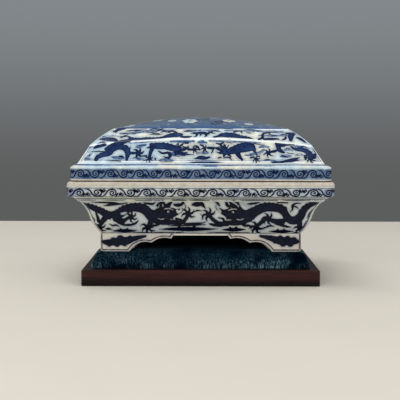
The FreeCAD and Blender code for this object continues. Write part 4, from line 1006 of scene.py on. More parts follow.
def topDrawing():
    # a field of thin cobalt with reserved blossoms on a winding stem with curled leaves
    drawing = strokes("wash", [(-90, 0, 60), (90, 0, 60)])
    stem = [(-98, -16, 1.2), (-84, -4, 1.5), (-66, 14, 1.5), (-50, 10, 1.5), (-38, -12, 1.5),
            (-20, -18, 1.5), (-6, 0, 1.5), (10, 16, 1.5), (28, 10, 1.5), (40, -10, 1.5),
            (58, -16, 1.5), (70, 2, 1.5), (84, 12, 1.5), (98, 8, 1.2)]
    drawing += strokes("ink", stem, [(-66, 14, 1.2), (-60, 28, 1.2), (-46, 34, 1.1), (-28, 30, 0.9)],
                       [(-38, -12, 1.2), (-44, -28, 1.2), (-60, -34, 1.1), (-78, -30, 0.9)],
                       [(10, 16, 1.2), (4, 30, 1.2), (-8, 38, 0.8)],
                       [(40, -10, 1.2), (34, -28, 1.2), (18, -34, 1.1), (0, -32, 0.9)],
                       [(70, 2, 1.2), (64, 22, 1.2), (50, 32, 1.1), (32, 32, 0.9)],
                       [(58, -16, 1.2), (70, -30, 1.2), (86, -34, 0.9)])
    # each blossom: across, up and size
    for number, (x, y, size) in enumerate([(-80, 14, 1), (-52, -12, 1), (-28, 22, 1), (-13, -32, 1.35),
                                           (15, -4, 1), (26, 26, 1), (56, 12, 1), (33, -27, 1.2),
                                           (84, -12, 1), (-84, -36, 1), (-82, 38, 1), (84, 36, 1),
                                           (-34, -27, 0.8), (56, -38, 0.8)]):
        blossom = strokes("clear", [(0, 0, 3)])
        for petal in range(6):
            angle = petal * math.pi / 3 + number
            gapAngle = angle + 0.5
            blossom += strokes("clear", [(4.2 * math.cos(angle), 4.2 * math.sin(angle), 2.5)])
            blossom += strokes("ink", [(8.4 * math.cos(gapAngle), 8.4 * math.sin(gapAngle), 0.9),
                                       (6.6 * math.cos(gapAngle), 6.6 * math.sin(gapAngle), 0.4)])
        drawing += placed(blossom + strokes("ink", [(0, 0, 1.2)]), x, y, size)
    for number, (x, y) in enumerate([(-62, 0), (-40, 36), (-62, -24), (-10, 12), (4, -20), (10, 30),
                                     (38, 14), (20, -38), (70, 24), (72, -24), (-94, 8), (94, -28)]):
        drawing += curl(x, y, 6, 1.4, number * 70, 1.3, 1 - 2 * (number % 2))
        drawing += strokes("ink", [(x - 9, y - 2, 0.4), (x - 6, y - 5, 1.7), (x - 1, y - 7.4, 0.4)],
                           [(x + 8, y + 3, 0.4), (x + 5, y + 6, 1.6), (x, y + 7.6, 0.4)])
    return drawing


def arched(across, half, long, rise):
    # extra height between two corners: rise * (half^2 - across^2) / (half of the long side)^2
    return rise * (half ** 2 - across ** 2) / long ** 2


def crownHeight(x, y, half):
    # both edges' arches and a crown that fades to nothing at each edge: panel + rise * a +
    # short * b + crown * a * b, with a = 1 - (x / half length)^2 and b = 1 - (y / half width)^2
    overX, overY = 1 - (x / half[0]) ** 2, 1 - (y / half[1]) ** 2
    short = cover["panelRise"] * (half[1] / half[0]) ** 2
    crown = cover["crown"] - cover["panel"] - cover["panelRise"] - short
    return cover["seat"] + cover["panel"] + cover["panelRise"] * overX + short * overY + crown * overX * overY


def makeCrown(material):
    # the panel on top: cross sections one behind the other,
    # each a loop along the top and back along the ceiling
    half = halfCover - cover["panelInset"]
    skirt, radius = 0.4, 2  # how far the edge drops outwards, and the rounding of the panel's corners
    x = np.linspace(-half[0], half[0], 190)
    x = np.concatenate([[-half[0] - skirt], x, [half[0] + skirt]])[:, None]
    rounding = np.clip(np.abs(x) - half[0] + radius, 0, radius)
    wide = half[1] - radius + np.sqrt(np.maximum(radius ** 2 - rounding ** 2, 0))
    top = np.concatenate([[-1], np.linspace(-1, 1, 100), [1]])
    edges, ceiling = [0, len(top) - 1], slice(len(top), None)
    y = wide * np.concatenate([top, np.linspace(1, -1, 14)])
    y[:, edges] += [-skirt, skirt]
    z = crownHeight(x, y, half)
    z[:, edges] -= 0.5
    z[[0, -1]] -= 0.5
    z[:, ceiling] -= cover["roof"]
    points = np.stack([x + 0 * y, y, z], -1)
    fields = paint(points[..., 0], points[..., 1], topDrawing())
    fields["frame"] = np.full(y.shape, nothing["frame"])
    blankFields(fields, (slice(None), ceiling))
    poles = np.array([[points[end, 0, 0], 0, z[end].mean()] for end in (0, -1)])
    outward = {name: values[:, ::-1] for name, values in fields.items()}
    piece = makeMesh("cover_crown", waver(points, cover["waver"], 4.0)[:, ::-1], outward, poles)
    finishPiece(piece, coverFamily, material, 60)


def makeDome(material):
    # a ring whose section runs down the outside, upper slope and steep facet, and back up along the ceiling
    upper, steep = np.linspace(0, 1, 27), np.linspace(0, 1, 32)[1:]
    ceilSteep, ceilUpper = np.linspace(1, 0, 4), np.linspace(1, 0, 5)[1:]
    rows = len(upper) + len(steep)
    onUpper, onSteep = slice(0, len(upper)), slice(len(upper), rows)
    panel, shoulder, ledge, roof = (cover[name] for name in ("panel", "shoulder", "ledge", "roof"))
    panelIn, shoulderIn, ledgeIn = (cover[name + "Inset"] for name in ("panel", "shoulder", "ledge"))
    panelRise, shoulderRise = cover["panelRise"], cover["shoulderRise"]
    inset = np.concatenate([
        between(panelIn, shoulderIn, upper), between(shoulderIn, ledgeIn, steep), [ledgeIn + 1.2],
        between(shoulderIn, ledgeIn + 1.5, ceilSteep), between(panelIn, shoulderIn, ceilUpper),
    ])
    base = np.concatenate([
        between(panel, shoulder, upper) + 4 * cover["swell"] * upper * (1 - upper),
        between(shoulder, ledge, steep), [ledge - 1.6],
        between(shoulder - roof, cover["band"] - 2, ceilSteep),
        between(panel - roof, shoulder - roof, ceilUpper),
    ])
    rise = np.concatenate([
        between(panelRise, shoulderRise, upper), shoulderRise * (1 - steep), [0],
        shoulderRise * (1 - ceilSteep), between(panelRise, shoulderRise, ceilUpper),
    ])
    lengths, widths = halfCover[0] - inset, halfCover[1] - inset
    corner = np.clip(np.minimum(lengths, widths) * 0.04, 0.4, 2.6)
    points, across, sides = ringsRound(lengths, widths, corner, np.zeros(len(lengths)), (390, 254), 5)
    half = halfSide(sides, lengths[:, None], widths[:, None])
    points[..., 2] = cover["seat"] + base[:, None] + arched(across, half, lengths[:, None], rise[:, None])
    tall = cover["creaseTall"]
    up = np.concatenate([tall * (1 - upper), tall * (1 - steep),
                         np.zeros(len(lengths) - rows)])[:, None] + 0 * across
    slopes, facets = [bolder(upperFront, 0.2), upperSide], [steepFront, steepSide]
    slopes += [mirrored(drawing) for drawing in slopes]
    facets += [mirrored(drawing) for drawing in facets]
    slopeFields = paintSides(across[onUpper], up[onUpper], sides, slopes, fins=0.8)
    facetFields = paintSides(across[onSteep], up[onSteep], sides, facets, fins=0.8)
    facetFields["wash"] = np.maximum(facetFields["wash"], -0.5)
    # the crown's cobalt runs over its edge, further in the middle of a side
    crownLine = cover["cobaltEdge"] - cover["cobaltDip"] * (1 - (across / half) ** 2)
    overEdge = 3 * (crownLine[onUpper] - up[onUpper])
    slopeFields["wash"] = np.minimum(np.maximum(slopeFields["wash"], -0.4), overEdge)
    inside = np.full(across[rows:].shape, nothing["ink"])
    fields = {name: np.vstack([slopeFields[name], facetFields[name], inside]) for name in facetFields}
    edge = half - np.abs(across)
    isUpper = (np.arange(len(lengths)) < len(upper))[:, None]
    facetLines = lineAt + np.minimum(np.abs(up - 0.3) * 0.7, np.abs(up - cover["footLine"]))
    slopeLines = np.minimum(up + 8, np.abs(crownLine - up) + lineAt)
    fields["frame"] = np.minimum(edge - 0.8, np.where(isUpper, slopeLines, facetLines))
    # along the hips, the shoulder, the dome's foot and the crown's edge the glaze is paler and a painted
    # highlight runs on the crease, kept off the cobalt: how far off that is
    slopeCrease = np.minimum(up + 1, np.abs(crownLine - up - 1.6) + 0.6)
    facetCrease = np.minimum(np.abs(up - 2.2) + 0.5, np.abs(up - 29.2))
    crease = np.minimum(edge + 0.4, np.where(isUpper, slopeCrease, facetCrease))
    fields["shade"] = -np.clip((1.8 - crease) * 1.3, 0, 1) * np.clip(fields["ink"] / 0.8, 0, 1)
    blankFields(fields, slice(rows, None))
    fields["shade"][rows:] = 0
    points[:rows] = waver(points[:rows], cover["waver"], 4.0)
    outward = {name: values[:, ::-1] for name, values in fields.items()}
    finishPiece(makeMesh("cover_dome", points[:, ::-1], outward), coverFamily, material, 60)


def makeCoverRim(material):
    # upright edge with its painted band, sloping ledge and the inside of the edge, as one closed ring
    band, ledge, ledgeIn, wall = cover["band"], cover["ledge"], cover["ledgeInset"], cover["wall"]
    section = [(1.0, 0), (0.3, 0.25), (0, 0.9), (0, band - 1.6, 0.62)]
    section += arc((1.8, band - 1.6), 1.8, 180, 120, 4)
    section += [(1.6, band + 0.25), (ledgeIn - 0.9, ledge - 0.45, 1.2), (ledgeIn + 0.2, ledge + 0.5),
                (ledgeIn + 2.4, ledge - 2.2, 3), (ledgeIn + 1.5, band - 2, 3), (wall, band - 2, 2),
                (wall, 0.6, 3), (wall - 0.6, 0)]
    line = profile(section)
    inset, level = line[:, 0], line[:, 1]
    corner = np.clip(8 - inset * 0.7, 2.6, 8)
    points, across, sides = ringsRound(halfCover[0] - inset, halfCover[1] - inset, corner,
                                       cover["seat"] + level, (460, 300), 8)
    up = np.broadcast_to(level[:, None], across.shape)
    fields = paintSides(across, up, sides, scrollsRound(halfCover - 1, cover["scroll"], 9.4, 0.86, 4.2))
    onFace = (inset < 2.0) & (level < band)
    onLedge = (level > band + 0.2) & (level < ledge - 0.4)
    fromDome = ledge - 0.45 - up
    ledgeLine = np.abs(fromDome - 0.7 - 0.3 * np.sin(across / 23)) * 0.5
    fields["frame"] = np.where(onLedge[:, None], ledgeLine, np.abs(up - 3.4)) + lineAt
    # thin cobalt: along the band, and in patches on the ledge, most in the middle of a side
    patches = np.clip(1.5 - 1.6 * np.sin(across / 19 + 1) * np.sin(across / 7), 0.2, 2)
    bandWash = np.abs(up - 9.0 - 0.4 * np.sin(across / 9)) - 5.4
    fields["wash"] = np.where(onLedge[:, None], patches - 1.2 * np.exp(-(across / 34) ** 2), bandWash)
    # bare clay at the foot of the edge; below 1.2 mm it is dark brown, fired clay and a painted shadow of the
    # gap over the collar
    fields["bare"] = np.interp(level, [1.2, 1.6, 2.4, 3.0], [2, 1, 1, 0])[:, None] * np.ones(across.shape)
    blankFields(fields, ~(onFace | onLedge))
    points[onFace] = waver(points[onFace], 0.12, 5.0)
    finishPiece(makeMesh("cover_rim", points, fields), coverFamily, material, 50)


# the porcelain's finish


def makePaintGroup():
    # cobalt painting under glaze: reads the drawing's distances
    # and gives a colour, a paint mask and a bare clay mask
    tree, given, made = newGroup("cobaltPainting", [
        ("Ground", "colour", linear(215, 217, 205)),
        ("Tint", "colour", linear(190, 200, 200)),
        ("Deep", "colour", linear(20, 24, 60)),
        ("Mid", "colour", linear(45, 55, 110)),
        ("Wash", "colour", linear(110, 130, 185)),
        ("Line", "colour", linear(70, 85, 135)),
        ("Pooling", "value", 0.5),
        ("Wash Strength", "value", 0.7),
        ("Scales", "value", 0.5),
        ("Second Line", "value", 0.7),
        ("Halo", "value", 3.0),  # how far the cobalt bleeds, in millimetres
    ], [("Color", "colour"), ("Paint", "value"), ("Bare", "value"), ("Tone", "value")])
    where = place(tree)
    fine, small = cloudy(tree, where, 520, 3), cloudy(tree, where, 130, 4, 0.6)
    broad = cloudy(tree, where, 24, 3)
    streak = cloudy(tree, stretched(tree, where, (1, 1, 2.2)), 210, 3, 0.6)
    ink, wash, lines = field(tree, "ink"), field(tree, "wash"), field(tree, "frame")
    roughEdge = calc(tree, "ADD", ink, scaled(tree, fine, 1.1, -0.55))
    inkMask = spread(tree, roughEdge, -0.32, 0.22, 1, 0)
    inside = spread(tree, ink, -2.6, -0.7, 1, 0)
    pooled = times(tree, spread(tree, small, 0.36, 0.66), times(tree, inside, given["Pooling"]))
    # scales: rows of arcs along the body, each other row shifted by half a scale
    along = calc(tree, "DIVIDE", field(tree, "along"), 2.3)
    row = calc(tree, "FLOOR", along)
    shift = times(tree, calc(tree, "MODULO", row, 2), 0.5)
    beside = calc(tree, "ADD", calc(tree, "DIVIDE", field(tree, "beside"), 2.5), shift)
    partAlong = calc(tree, "SUBTRACT", along, row)
    partBeside = calc(tree, "SUBTRACT", calc(tree, "FRACT", beside), 0.5)
    squares = calc(tree, "POWER", partAlong, 2), times(tree, calc(tree, "POWER", partBeside, 2), 2.2)
    radius = calc(tree, "SQRT", calc(tree, "ADD", *squares))
    arcs = spread(tree, offBy(tree, radius, 0.72), 0.08, 0.2, 1, 0)
    scaly = times(tree, arcs, spread(tree, field(tree, "scaly"), -1.6, -0.9, 1, 0))
    pooled = calc(tree, "ADD", pooled, times(tree, scaly, given["Scales"]))
    inkColour = blend(tree, calc(tree, "MINIMUM", pooled, 1), given["Deep"], given["Mid"])
    glazeColour = blend(tree, spread(tree, broad, 0.38, 0.62), given["Ground"], given["Tint"])
    speck = specks(tree, where, 260)
    glazeColour = blend(tree, times(tree, spread(tree, speck, 0.03, 0.09, 1, 0), 0.4), glazeColour,
                        given["Line"])
    washEdge = calc(tree, "ADD", wash, scaled(tree, streak, 3.2, -1.6))
    washMask = times(tree, spread(tree, washEdge, -0.9, 0.7, 1, 0), scaled(tree, small, 1.1, 0.4))
    washMask = times(tree, washMask, given["Wash Strength"])
    halo = times(tree, spread(tree, ink, -0.2, given["Halo"], 0.85, 0), streak)
    colour = blend(tree, calc(tree, "MINIMUM", washMask, 1), glazeColour, given["Wash"])
    colour = blend(tree, halo, colour, given["Wash"])
    weak = scaled(tree, spread(tree, streak, 0.3, 0.62), 0.35, 0.65)
    outer = spread(tree, offBy(tree, lines, lineAt), 0.26, 0.6, 1, 0)
    inner = spread(tree, offBy(tree, lines, 3.1), 0.1, 0.45, 1, 0)
    ruled = times(tree, calc(tree, "MAXIMUM", outer, times(tree, inner, given["Second Line"])), weak)
    colour = blend(tree, ruled, colour, given["Line"])
    colour = blend(tree, inkMask, colour, inkColour)
    bare = field(tree, "bare")
    clay = blend(tree, spread(tree, small, 0.3, 0.7), linear(210, 204, 190), linear(184, 174, 158))
    # dark brown at the lid's lowest edge: the fired clay, darkened further as a painted shadow of the gap
    # over the collar
    clay = blend(tree, spread(tree, bare, 1.2, 1.8), clay, linear(50, 32, 18))
    colour = blend(tree, calc(tree, "MINIMUM", bare, 1), colour, clay)
    # shade is 1 for painted shade, dark where the underside and the insides of the feet lie in shadow under
    # the box, and -1 where the glaze is paler on a crease and a painted highlight lies on it
    shade = field(tree, "shade")
    paleGlazeAndHighlight = times(tree, spread(tree, shade, -1, -0.1, 0.92, 0),
                        spread(tree, small, 0.28, 0.52, 0.5, 1))
    colour = blend(tree, paleGlazeAndHighlight, colour, linear(246, 252, 252))
    colour = blend(tree, spread(tree, shade, 0.1, 1, 0, 0.8), colour, linear(26, 24, 24))
    tree.links.new(colour, made["Color"])
    tree.links.new(calc(tree, "MAXIMUM", inkMask, times(tree, washMask, 0.4)), made["Paint"])
    tree.links.new(calc(tree, "MINIMUM", bare, 1), made["Bare"])
    tree.links.new(broad, made["Tone"])
    return tree


paintGroup = makePaintGroup()


def porcelain(name, tones, glaze):
    # the painting under a rippled glaze with pin holes, and coarse grit where the clay is bare
    material, tree, shader = newMaterial(name)
    painting = useGroup(tree, paintGroup, tones)
    where = place(tree)
    ripple = cloudy(tree, where, 60, 2)
    pits = specks(tree, where, 330)
    skin = calc(tree, "ADD", ripple, times(tree, spread(tree, pits, 0.02, 0.12), 0.12))
    skin = calc(tree, "SUBTRACT", skin, times(tree, painting["Paint"], 0.06))
    grit = cloudy(tree, where, 900, 4)
    height = calc(tree, "ADD", skin, times(tree, times(tree, grit, painting["Bare"]), 0.5))
    rough = scaled(tree, painting["Bare"], 0.5, scaled(tree, painting["Tone"], 0.12, glaze["rough"]))
    fill(tree, shader, {
        "Base Color": painting["Color"],
        "Roughness": rough,
        "Coat Weight": scaled(tree, painting["Bare"], -glaze["coat"], glaze["coat"]),
        "Coat Roughness": 0.06,
        "Specular IOR Level": glaze["shine"],
        "Normal": bump(tree, height, glaze["relief"] * mm),
    })
    return material


bodyGlaze = {"rough": 0.16, "coat": 0.08, "shine": 0.12, "relief": 0.35}
bodyTones = {
    "Ground": linear(220, 223, 209),
    "Tint": linear(202, 211, 210),
    "Deep": linear(7, 13, 30),
    "Mid": linear(18, 30, 58),
    "Wash": linear(92, 108, 150),
    "Line": linear(28, 36, 68),
    "Pooling": 0.5,
    "Wash Strength": 0.8,
    "Scales": 0.45,
    "Second Line": 0.0,
    "Halo": 2.6,
}
coverGlaze = {"rough": 0.14, "coat": 0.2, "shine": 0.2, "relief": 0.4}
coverTones = {
    "Ground": linear(234, 234, 216),
    "Tint": linear(204, 226, 234),
    "Deep": linear(10, 27, 66),
    "Mid": linear(34, 64, 112),
    "Wash": linear(54, 88, 134),
    "Line": linear(52, 78, 130),
    "Pooling": 0.8,
    "Wash Strength": 1.1,
    "Scales": 0.45,
    "Second Line": 0.6,
    "Halo": 5.5,
}
rimTones = {**coverTones, "Wash": linear(76, 102, 138), "Wash Strength": 0.9, "Deep": linear(12, 28, 62),
            "Mid": linear(24, 46, 86)}
feetTones = {**bodyTones, "Ground": linear(219, 213, 200), "Tint": linear(206, 199, 190)}
bodyPorcelain = porcelain("bodyPorcelain", bodyTones, bodyGlaze)
coverPorcelain = porcelain("coverPorcelain", coverTones, coverGlaze)
makeFeet(porcelain("feetPorcelain", feetTones, bodyGlaze))
makeBasin(bodyPorcelain)
makeCollar(bodyPorcelain)
makeDivider(bodyPorcelain)
makeCrown(porcelain("crownPorcelain", {**coverTones, "Wash": linear(72, 96, 128)}, coverGlaze))
makeDome(coverPorcelain)
makeCoverRim(porcelain("rimPorcelain", rimTones, coverGlaze))

# the velvet pad

padShape = {
    "edge": 3.6,  # rounding of the top edge
    "corner": 5.0,
    "under": 2.6,  # the filled shape is flattened against the wood by this much
    "lean": 4.2,  # how far the top edge stands in from the foot
    "widest": 7.5,  # height up to which the sides stand upright
    "crown": 3.4,  # fullness of the top between the feet
    "pressed": 0.15,  # how far the soles press in
    "sunk": 0.8,  # how far the whole top is let down first
    "dentBlur": 5.0,  # the top rises around a foot over this distance
    "voxel": 4.5,
    "pressure": 4.0,
    "mostSwell": 1.2,
    "steps": 20,  # of the cloth simulation
    "board": (1.5, 4.5),  # how far the board's edge is inside the cover's, and the rounding of its corners
    "overBoard": 0.9,  # the least that the cover lies outside the board
    "overHeight": (6.5, 11.0),  # heights between which that fades to nothing
    "dentTall": 4.5,  # how much higher than the soles the top may stand between the feet
}


def legGap(x, y):
    # how far a point lies outside the nearest of the four feet, in millimetres
    along = np.abs(np.abs(x) - (halfWaist[0] - body["legLong"] / 2)) - body["legLong"] / 2
    return np.maximum(along, np.abs(np.abs(y) - (halfWaist[1] - body["legShort"] / 2)) - body["legShort"] / 2)


def evaluated(piece):
    # the piece as its modifiers leave it
    return piece.evaluated_get(bpy.context.evaluated_depsgraph_get())


def swollen(piece):
    # the cover stitched down at its bottom edge and pressed out from within as cloth for a number of steps,
    # each point's way cut to the most it may swell, and then one subdivision
    even = piece.modifiers.new("even", "REMESH")
    even.mode, even.voxel_size = "VOXEL", padShape["voxel"] * mm
    ready = bpy.data.meshes.new_from_object(evaluated(piece))
    piece.modifiers.clear()
    piece.data = ready
    start = readPoints(ready)
    stitched = piece.vertex_groups.new(name="stitched")
    stitched.add(np.flatnonzero(start[:, 2] < (padLow[2] + 1.0) * mm).tolist(), 1.0, "REPLACE")
    cloth = piece.modifiers.new("cloth", "CLOTH")
    cloth.settings.use_pressure = True
    cloth.settings.uniform_pressure_force = padShape["pressure"]
    cloth.settings.effector_weights.gravity = 0
    cloth.settings.vertex_group_mass = "stitched"
    for step in range(1, padShape["steps"] + 1):
        bpy.context.scene.frame_set(step)
    way = readPoints(evaluated(piece).data) - start
    piece.modifiers.clear()
    bpy.context.scene.frame_set(1)
    length = np.linalg.norm(way, axis=1, keepdims=True)
    way *= np.minimum(1, padShape["mostSwell"] * mm / np.maximum(length, 1e-9))
    writePoints(ready, start + way)
    ready.update()
    finer = piece.modifiers.new("finer", "SUBSURF")
    finer.levels = finer.render_levels = 1
    piece.data = bpy.data.meshes.new_from_object(evaluated(piece))
    piece.modifiers.clear()
    piece.vertex_groups.clear()


def pushOff(spots, half, low):
    # near the wood the cover lies over the edge of a board: points that are too near it move straight out,
    # less and less further up; how far out a point lies is worked out as for a rectangle with rounded corners
    inside, corner = padShape["board"]
    least, (fadeLow, fadeHigh) = padShape["overBoard"], padShape["overHeight"]
    past = np.abs(spots[:, :2]) - (half - inside - corner)
    out = np.maximum(past, 0) + 1e-9
    reach = np.linalg.norm(out, axis=1)
    inner = np.minimum(past.max(axis=1), 0)
    short = corner + least - (reach + inner)
    weight = np.clip((low + fadeHigh - spots[:, 2]) / (fadeHigh - fadeLow), 0, 1) * (short < 6)
    nearest = past == past.max(axis=1, keepdims=True)
    way = np.where((past.max(axis=1) > 0)[:, None], out / reach[:, None], nearest)
    spots[:, :2] += np.sign(spots[:, :2]) * way * (np.maximum(short, 0) * weight)[:, None]


def makePad(material):
    # a stuffed block, widest near its foot, with a rounded
    # top edge and a top that is full except under the feet
    half = (padHigh[:2] - padLow[:2]) / 2
    low, high = padLow[2], padHigh[2]
    edge, lean, under, crown, sunk = (padShape[name] for name in ("edge", "lean", "under", "crown", "sunk"))
    section = [(1.6, low - under), (0, low - under + 1.2), (0, low + padShape["widest"])]
    section += [(lean * 0.4, low + 10), (lean * 0.8, high - edge)]
    section += arc((lean * 0.8 + edge, high - edge), edge, 170, 90, 6)
    line = profile(section, 1.6)
    underside = np.linspace(half[1] - 2, 4, 8)
    inner = np.linspace(line[-1, 0], half[1] - 1.5, 30)[1:]
    inset = np.concatenate([underside, line[:, 0], inner])
    height = np.concatenate([np.full(len(underside), low - under), line[:, 1], np.full(len(inner), high)])
    widths = half[1] - inset
    corner = np.minimum(np.clip(padShape["corner"] - inset * 0.3, 1.2, 9), widths * 0.9)
    points = ringsRound(half[0] - inset, widths, corner, height, (150, 94), 6)[0]
    fromEdge = np.clip((half - np.abs(points[..., :2])) / 20, 0, 1).prod(axis=-1)
    top = slice(-len(inner), None)
    points[top, :, 2] += crown * fromEdge[top] - sunk
    poles = np.array([[0, 0, low - under], [0, 0, high + crown - sunk]])
    piece = makeMesh("velvet_pad", points, None, poles)
    swollen(piece)
    # flat against the wood below; on top it is cut to the soles'
    # height under the feet and rises smoothly around them
    mesh = piece.data
    spots = readPoints(mesh) / mm
    pushOff(spots, half, low)
    free = np.clip(legGap(spots[:, 0], spots[:, 1]) / padShape["dentBlur"], 0, 1)
    limit = high - padShape["pressed"] + padShape["dentTall"] * free * free * (3 - 2 * free)
    below = np.minimum(spots[:, 2] - low, 0)
    spots[:, 2] = np.minimum(spots[:, 2], limit) - below + 0.06 + 0.015 * below
    writePoints(mesh, spots * mm)
    mesh.update()
    mesh.shade_smooth()
    # painted shade: dark from 3 mm inside the box's outline on, and darkest 7 mm further in
    outside = np.maximum(np.abs(spots[:, 0]) - halfWaist[0], np.abs(spots[:, 1]) - halfWaist[1]) + 3
    shade = np.clip(-outside / 7, 0, 1)
    mesh.attributes.new("shade", "FLOAT", "POINT").data.foreach_set("value", shade.astype(np.float32))
    piece.data.materials.append(material)
    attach(piece, "stand")
    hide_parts("velvet_cover", "pad_wadding")
    print("made", piece.name, len(piece.data.vertices), "points")


def velvet():
    # short pile, brushed upwards: dark where it leans away, with painted sheen in pale streaks where it would
    # catch the light and along its outline, and painted shade under the box
    material, tree, shader = newMaterial("velvet")
    where = place(tree)
    upright = cloudy(tree, stretched(tree, where, (1, 1, 0.16)), 800, 3, 0.6)
    patches = cloudy(tree, where, 30, 3, 0.55)
    pile = cloudy(tree, where, 1500, 2)
    height = axis(tree, where, 2)
    lowPart = spread(tree, height, float(padLow[2] + 2) * mm, float(padHigh[2] - 5) * mm, 1, 0)
    # painted sheen: pale streaks of pile, strongest low on the pad and towards its ends
    caught = times(tree, spread(tree, upright, 0.44, 0.66), spread(tree, patches, 0.35, 0.65))
    caught = times(tree, caught, scaled(tree, lowPart, 0.72, 0.22))
    away = calc(tree, "ABSOLUTE", axis(tree, where, 0))
    caught = calc(tree, "MINIMUM", times(tree, caught, spread(tree, away, 0.01, 0.11, 0.5, 1.5)), 1)
    deep = blend(tree, spread(tree, patches, 0.3, 0.7), linear(1, 10, 22), linear(6, 34, 50))
    colour = blend(tree, caught, deep, linear(122, 164, 180))
    colour = blend(tree, times(tree, pile, 0.4), colour, linear(2, 14, 26))
    lint = specks(tree, where, 42)
    colour = blend(tree, times(tree, spread(tree, lint, 0.006, 0.014, 1, 0), 0.6), colour,
                   linear(180, 180, 170))
    # painted sheen where the pile is seen at a grazing angle
    rim = addNode(tree, "ShaderNodeLayerWeight", {"Blend": 0.5}).outputs["Facing"]
    colour = blend(tree, times(tree, spread(tree, rim, 0.55, 1.0), 0.4), colour, linear(96, 140, 156))
    # painted shade under the box, from the shade attribute
    colour = blend(tree, times(tree, spread(tree, field(tree, "shade"), 0, 1), 0.85), colour,
                   linear(2, 3, 6))
    fill(tree, shader, {
        "Base Color": colour,
        "Roughness": 0.95,
        "Specular IOR Level": 0.0,
        "Normal": bump(tree, calc(tree, "ADD", pile, upright), 0.3 * mm),
    })
    return material


makePad(velvet())

# the stand's wood


def makeWoodGroup():
    # rosewood: dark and pale bands along the grain, fine pores drawn out with it and slow patches of tone
    tree, given, made = newGroup("woodGrain", [
        ("Vector", "vector", None),
        ("Dark", "colour", linear(30, 16, 14)),
        ("Pale", "colour", linear(96, 50, 42)),
        ("Pores", "colour", linear(14, 8, 8)),
        ("Scale", "value", 1.0),
    ], [("Color", "colour"), ("Height", "value"), ("Pore", "value")])
    vector = addNode(tree, "ShaderNodeVectorMath", {0: given["Vector"], "Scale": given["Scale"]},
                     operation="SCALE")

    def drawnOut(share, *settings):
        # noise stretched along the grain to 1 / share of its width
        return cloudy(tree, stretched(tree, vector.outputs[0], (share, 1, 1)), *settings)

    bands = drawnOut(0.05, 190, 5, 0.62, 0.6)
    fibres = drawnOut(0.02, 1100, 3, 0.6)
    patches = drawnOut(0.3, 26, 2)
    pore = spread(tree, drawnOut(0.045, 1700, 1), 0.62, 0.7)
    share = scaled(tree, spread(tree, bands, 0.36, 0.66), 0.7, scaled(tree, fibres, 0.4, -0.2))
    share = times(tree, share, scaled(tree, patches, 0.9, 0.5))
    colour = blend(tree, calc(tree, "MINIMUM", calc(tree, "MAXIMUM", share, 0), 1), given["Dark"],
                   given["Pale"])
    colour = blend(tree, times(tree, pore, 0.7), colour, given["Pores"])
    tree.links.new(colour, made["Color"])
    tree.links.new(calc(tree, "SUBTRACT", times(tree, fibres, 0.4), pore), made["Height"])
    tree.links.new(pore, made["Pore"])
    return tree


woodGroup = makeWoodGroup()
# foot and top: how much painted shade darkens the wood near the table and on top faces
rosewood = {"dark": (24, 12, 11), "pale": (78, 35, 31), "rough": 0.48, "relief": 0.12, "foot": 0.95,
            "top": 0.5}


def wood(name, turned, look, scale=1.0):
    # turned: the grain runs from front to back
    material, tree, shader = newMaterial(name)
    turn = (0, 0, math.pi / 2 if turned else 0)
    where = addNode(tree, "ShaderNodeMapping", {"Vector": place(tree), "Rotation": turn}).outputs[0]
    tones = {"Dark": linear(*look["dark"]), "Pale": linear(*look["pale"])}
    grain = useGroup(tree, woodGroup, {"Vector": where, **tones, "Scale": scale})
    edges = addNode(tree, "ShaderNodeNewGeometry").outputs["Pointiness"]
    worn = times(tree, spread(tree, edges, 0.52, 0.6), 0.25)
    colour = blend(tree, worn, grain["Color"], linear(*[min(255, c + 26) for c in look["pale"]]))
    # painted shade: darker towards the table and on the top faces
    height = axis(tree, place(tree), 2)
    level = axis(tree, addNode(tree, "ShaderNodeNewGeometry").outputs["Normal"], 2)
    below = spread(tree, height, 0.001, 0.016, look["foot"], 0)
    dim = calc(tree, "MAXIMUM", below, spread(tree, level, 0.6, 0.95, 0, look["top"]))
    colour = blend(tree, dim, colour, linear(14, 10, 10))
    fill(tree, shader, {
        "Base Color": colour,
        "Roughness": scaled(tree, grain["Pore"], 0.2, look["rough"]),
        "Specular IOR Level": 0.15,
        "Normal": bump(tree, grain["Height"], look["relief"] * mm),
    })
    return material


def dress(node, material):
    # a node that keeps the CAD shape gets a material in all its slots
    slots = nodes[node].material_slots
    if not slots:
        nodes[node].data.materials.append(material)
    for holder in slots:
        holder.link = "OBJECT"
        holder.material = material


railLong = wood("rosewoodLong", False, rosewood)
railShort = wood("rosewoodShort", True, rosewood)
beech = {**rosewood, "dark": (158, 112, 76), "pale": (206, 164, 122), "foot": 0.1, "top": 0.1}
plywood = {**beech, "dark": (140, 104, 66), "pale": (190, 152, 104)}
for name in ("front_rail", "back_rail"):
    dress(name, railLong)
for name in ("left_rail", "right_rail"):
    dress(name, railShort)
dress("stand_panel", wood("plywoodPanel", False, plywood))
dress("mitre_tongues", wood("beechTongues", False, beech, 2.0))


def plain(name, base, other, scale, rough, relief, veins=0.0, coat=0.0):
    # a speckled or fibrous solid finish, with thin pale veins where it is stone
    material, tree, shader = newMaterial(name)
    where = place(tree)
    tone = cloudy(tree, where, scale, 5, 0.65)
    patches = cloudy(tree, where, scale * 0.08, 2)
    colour = blend(tree, spread(tree, tone, 0.35, 0.68), linear(*base), linear(*other))
    colour = blend(tree, times(tree, spread(tree, patches, 0.4, 0.7), 0.45), colour, linear(*other))
    veined = offBy(tree, cloudy(tree, where, scale * 0.06, 3, 0.5, 1.2), 0.5)
    colour = blend(tree, times(tree, spread(tree, veined, 0.002, 0.02, 1, 0), veins), colour,
                   linear(*[c + 40 for c in other]))
    fill(tree, shader, {
        "Base Color": colour,
        "Roughness": scaled(tree, tone, 0.18, rough - 0.09),
        "Coat Weight": coat,
        "Normal": bump(tree, tone, relief * mm),
    })
    return material


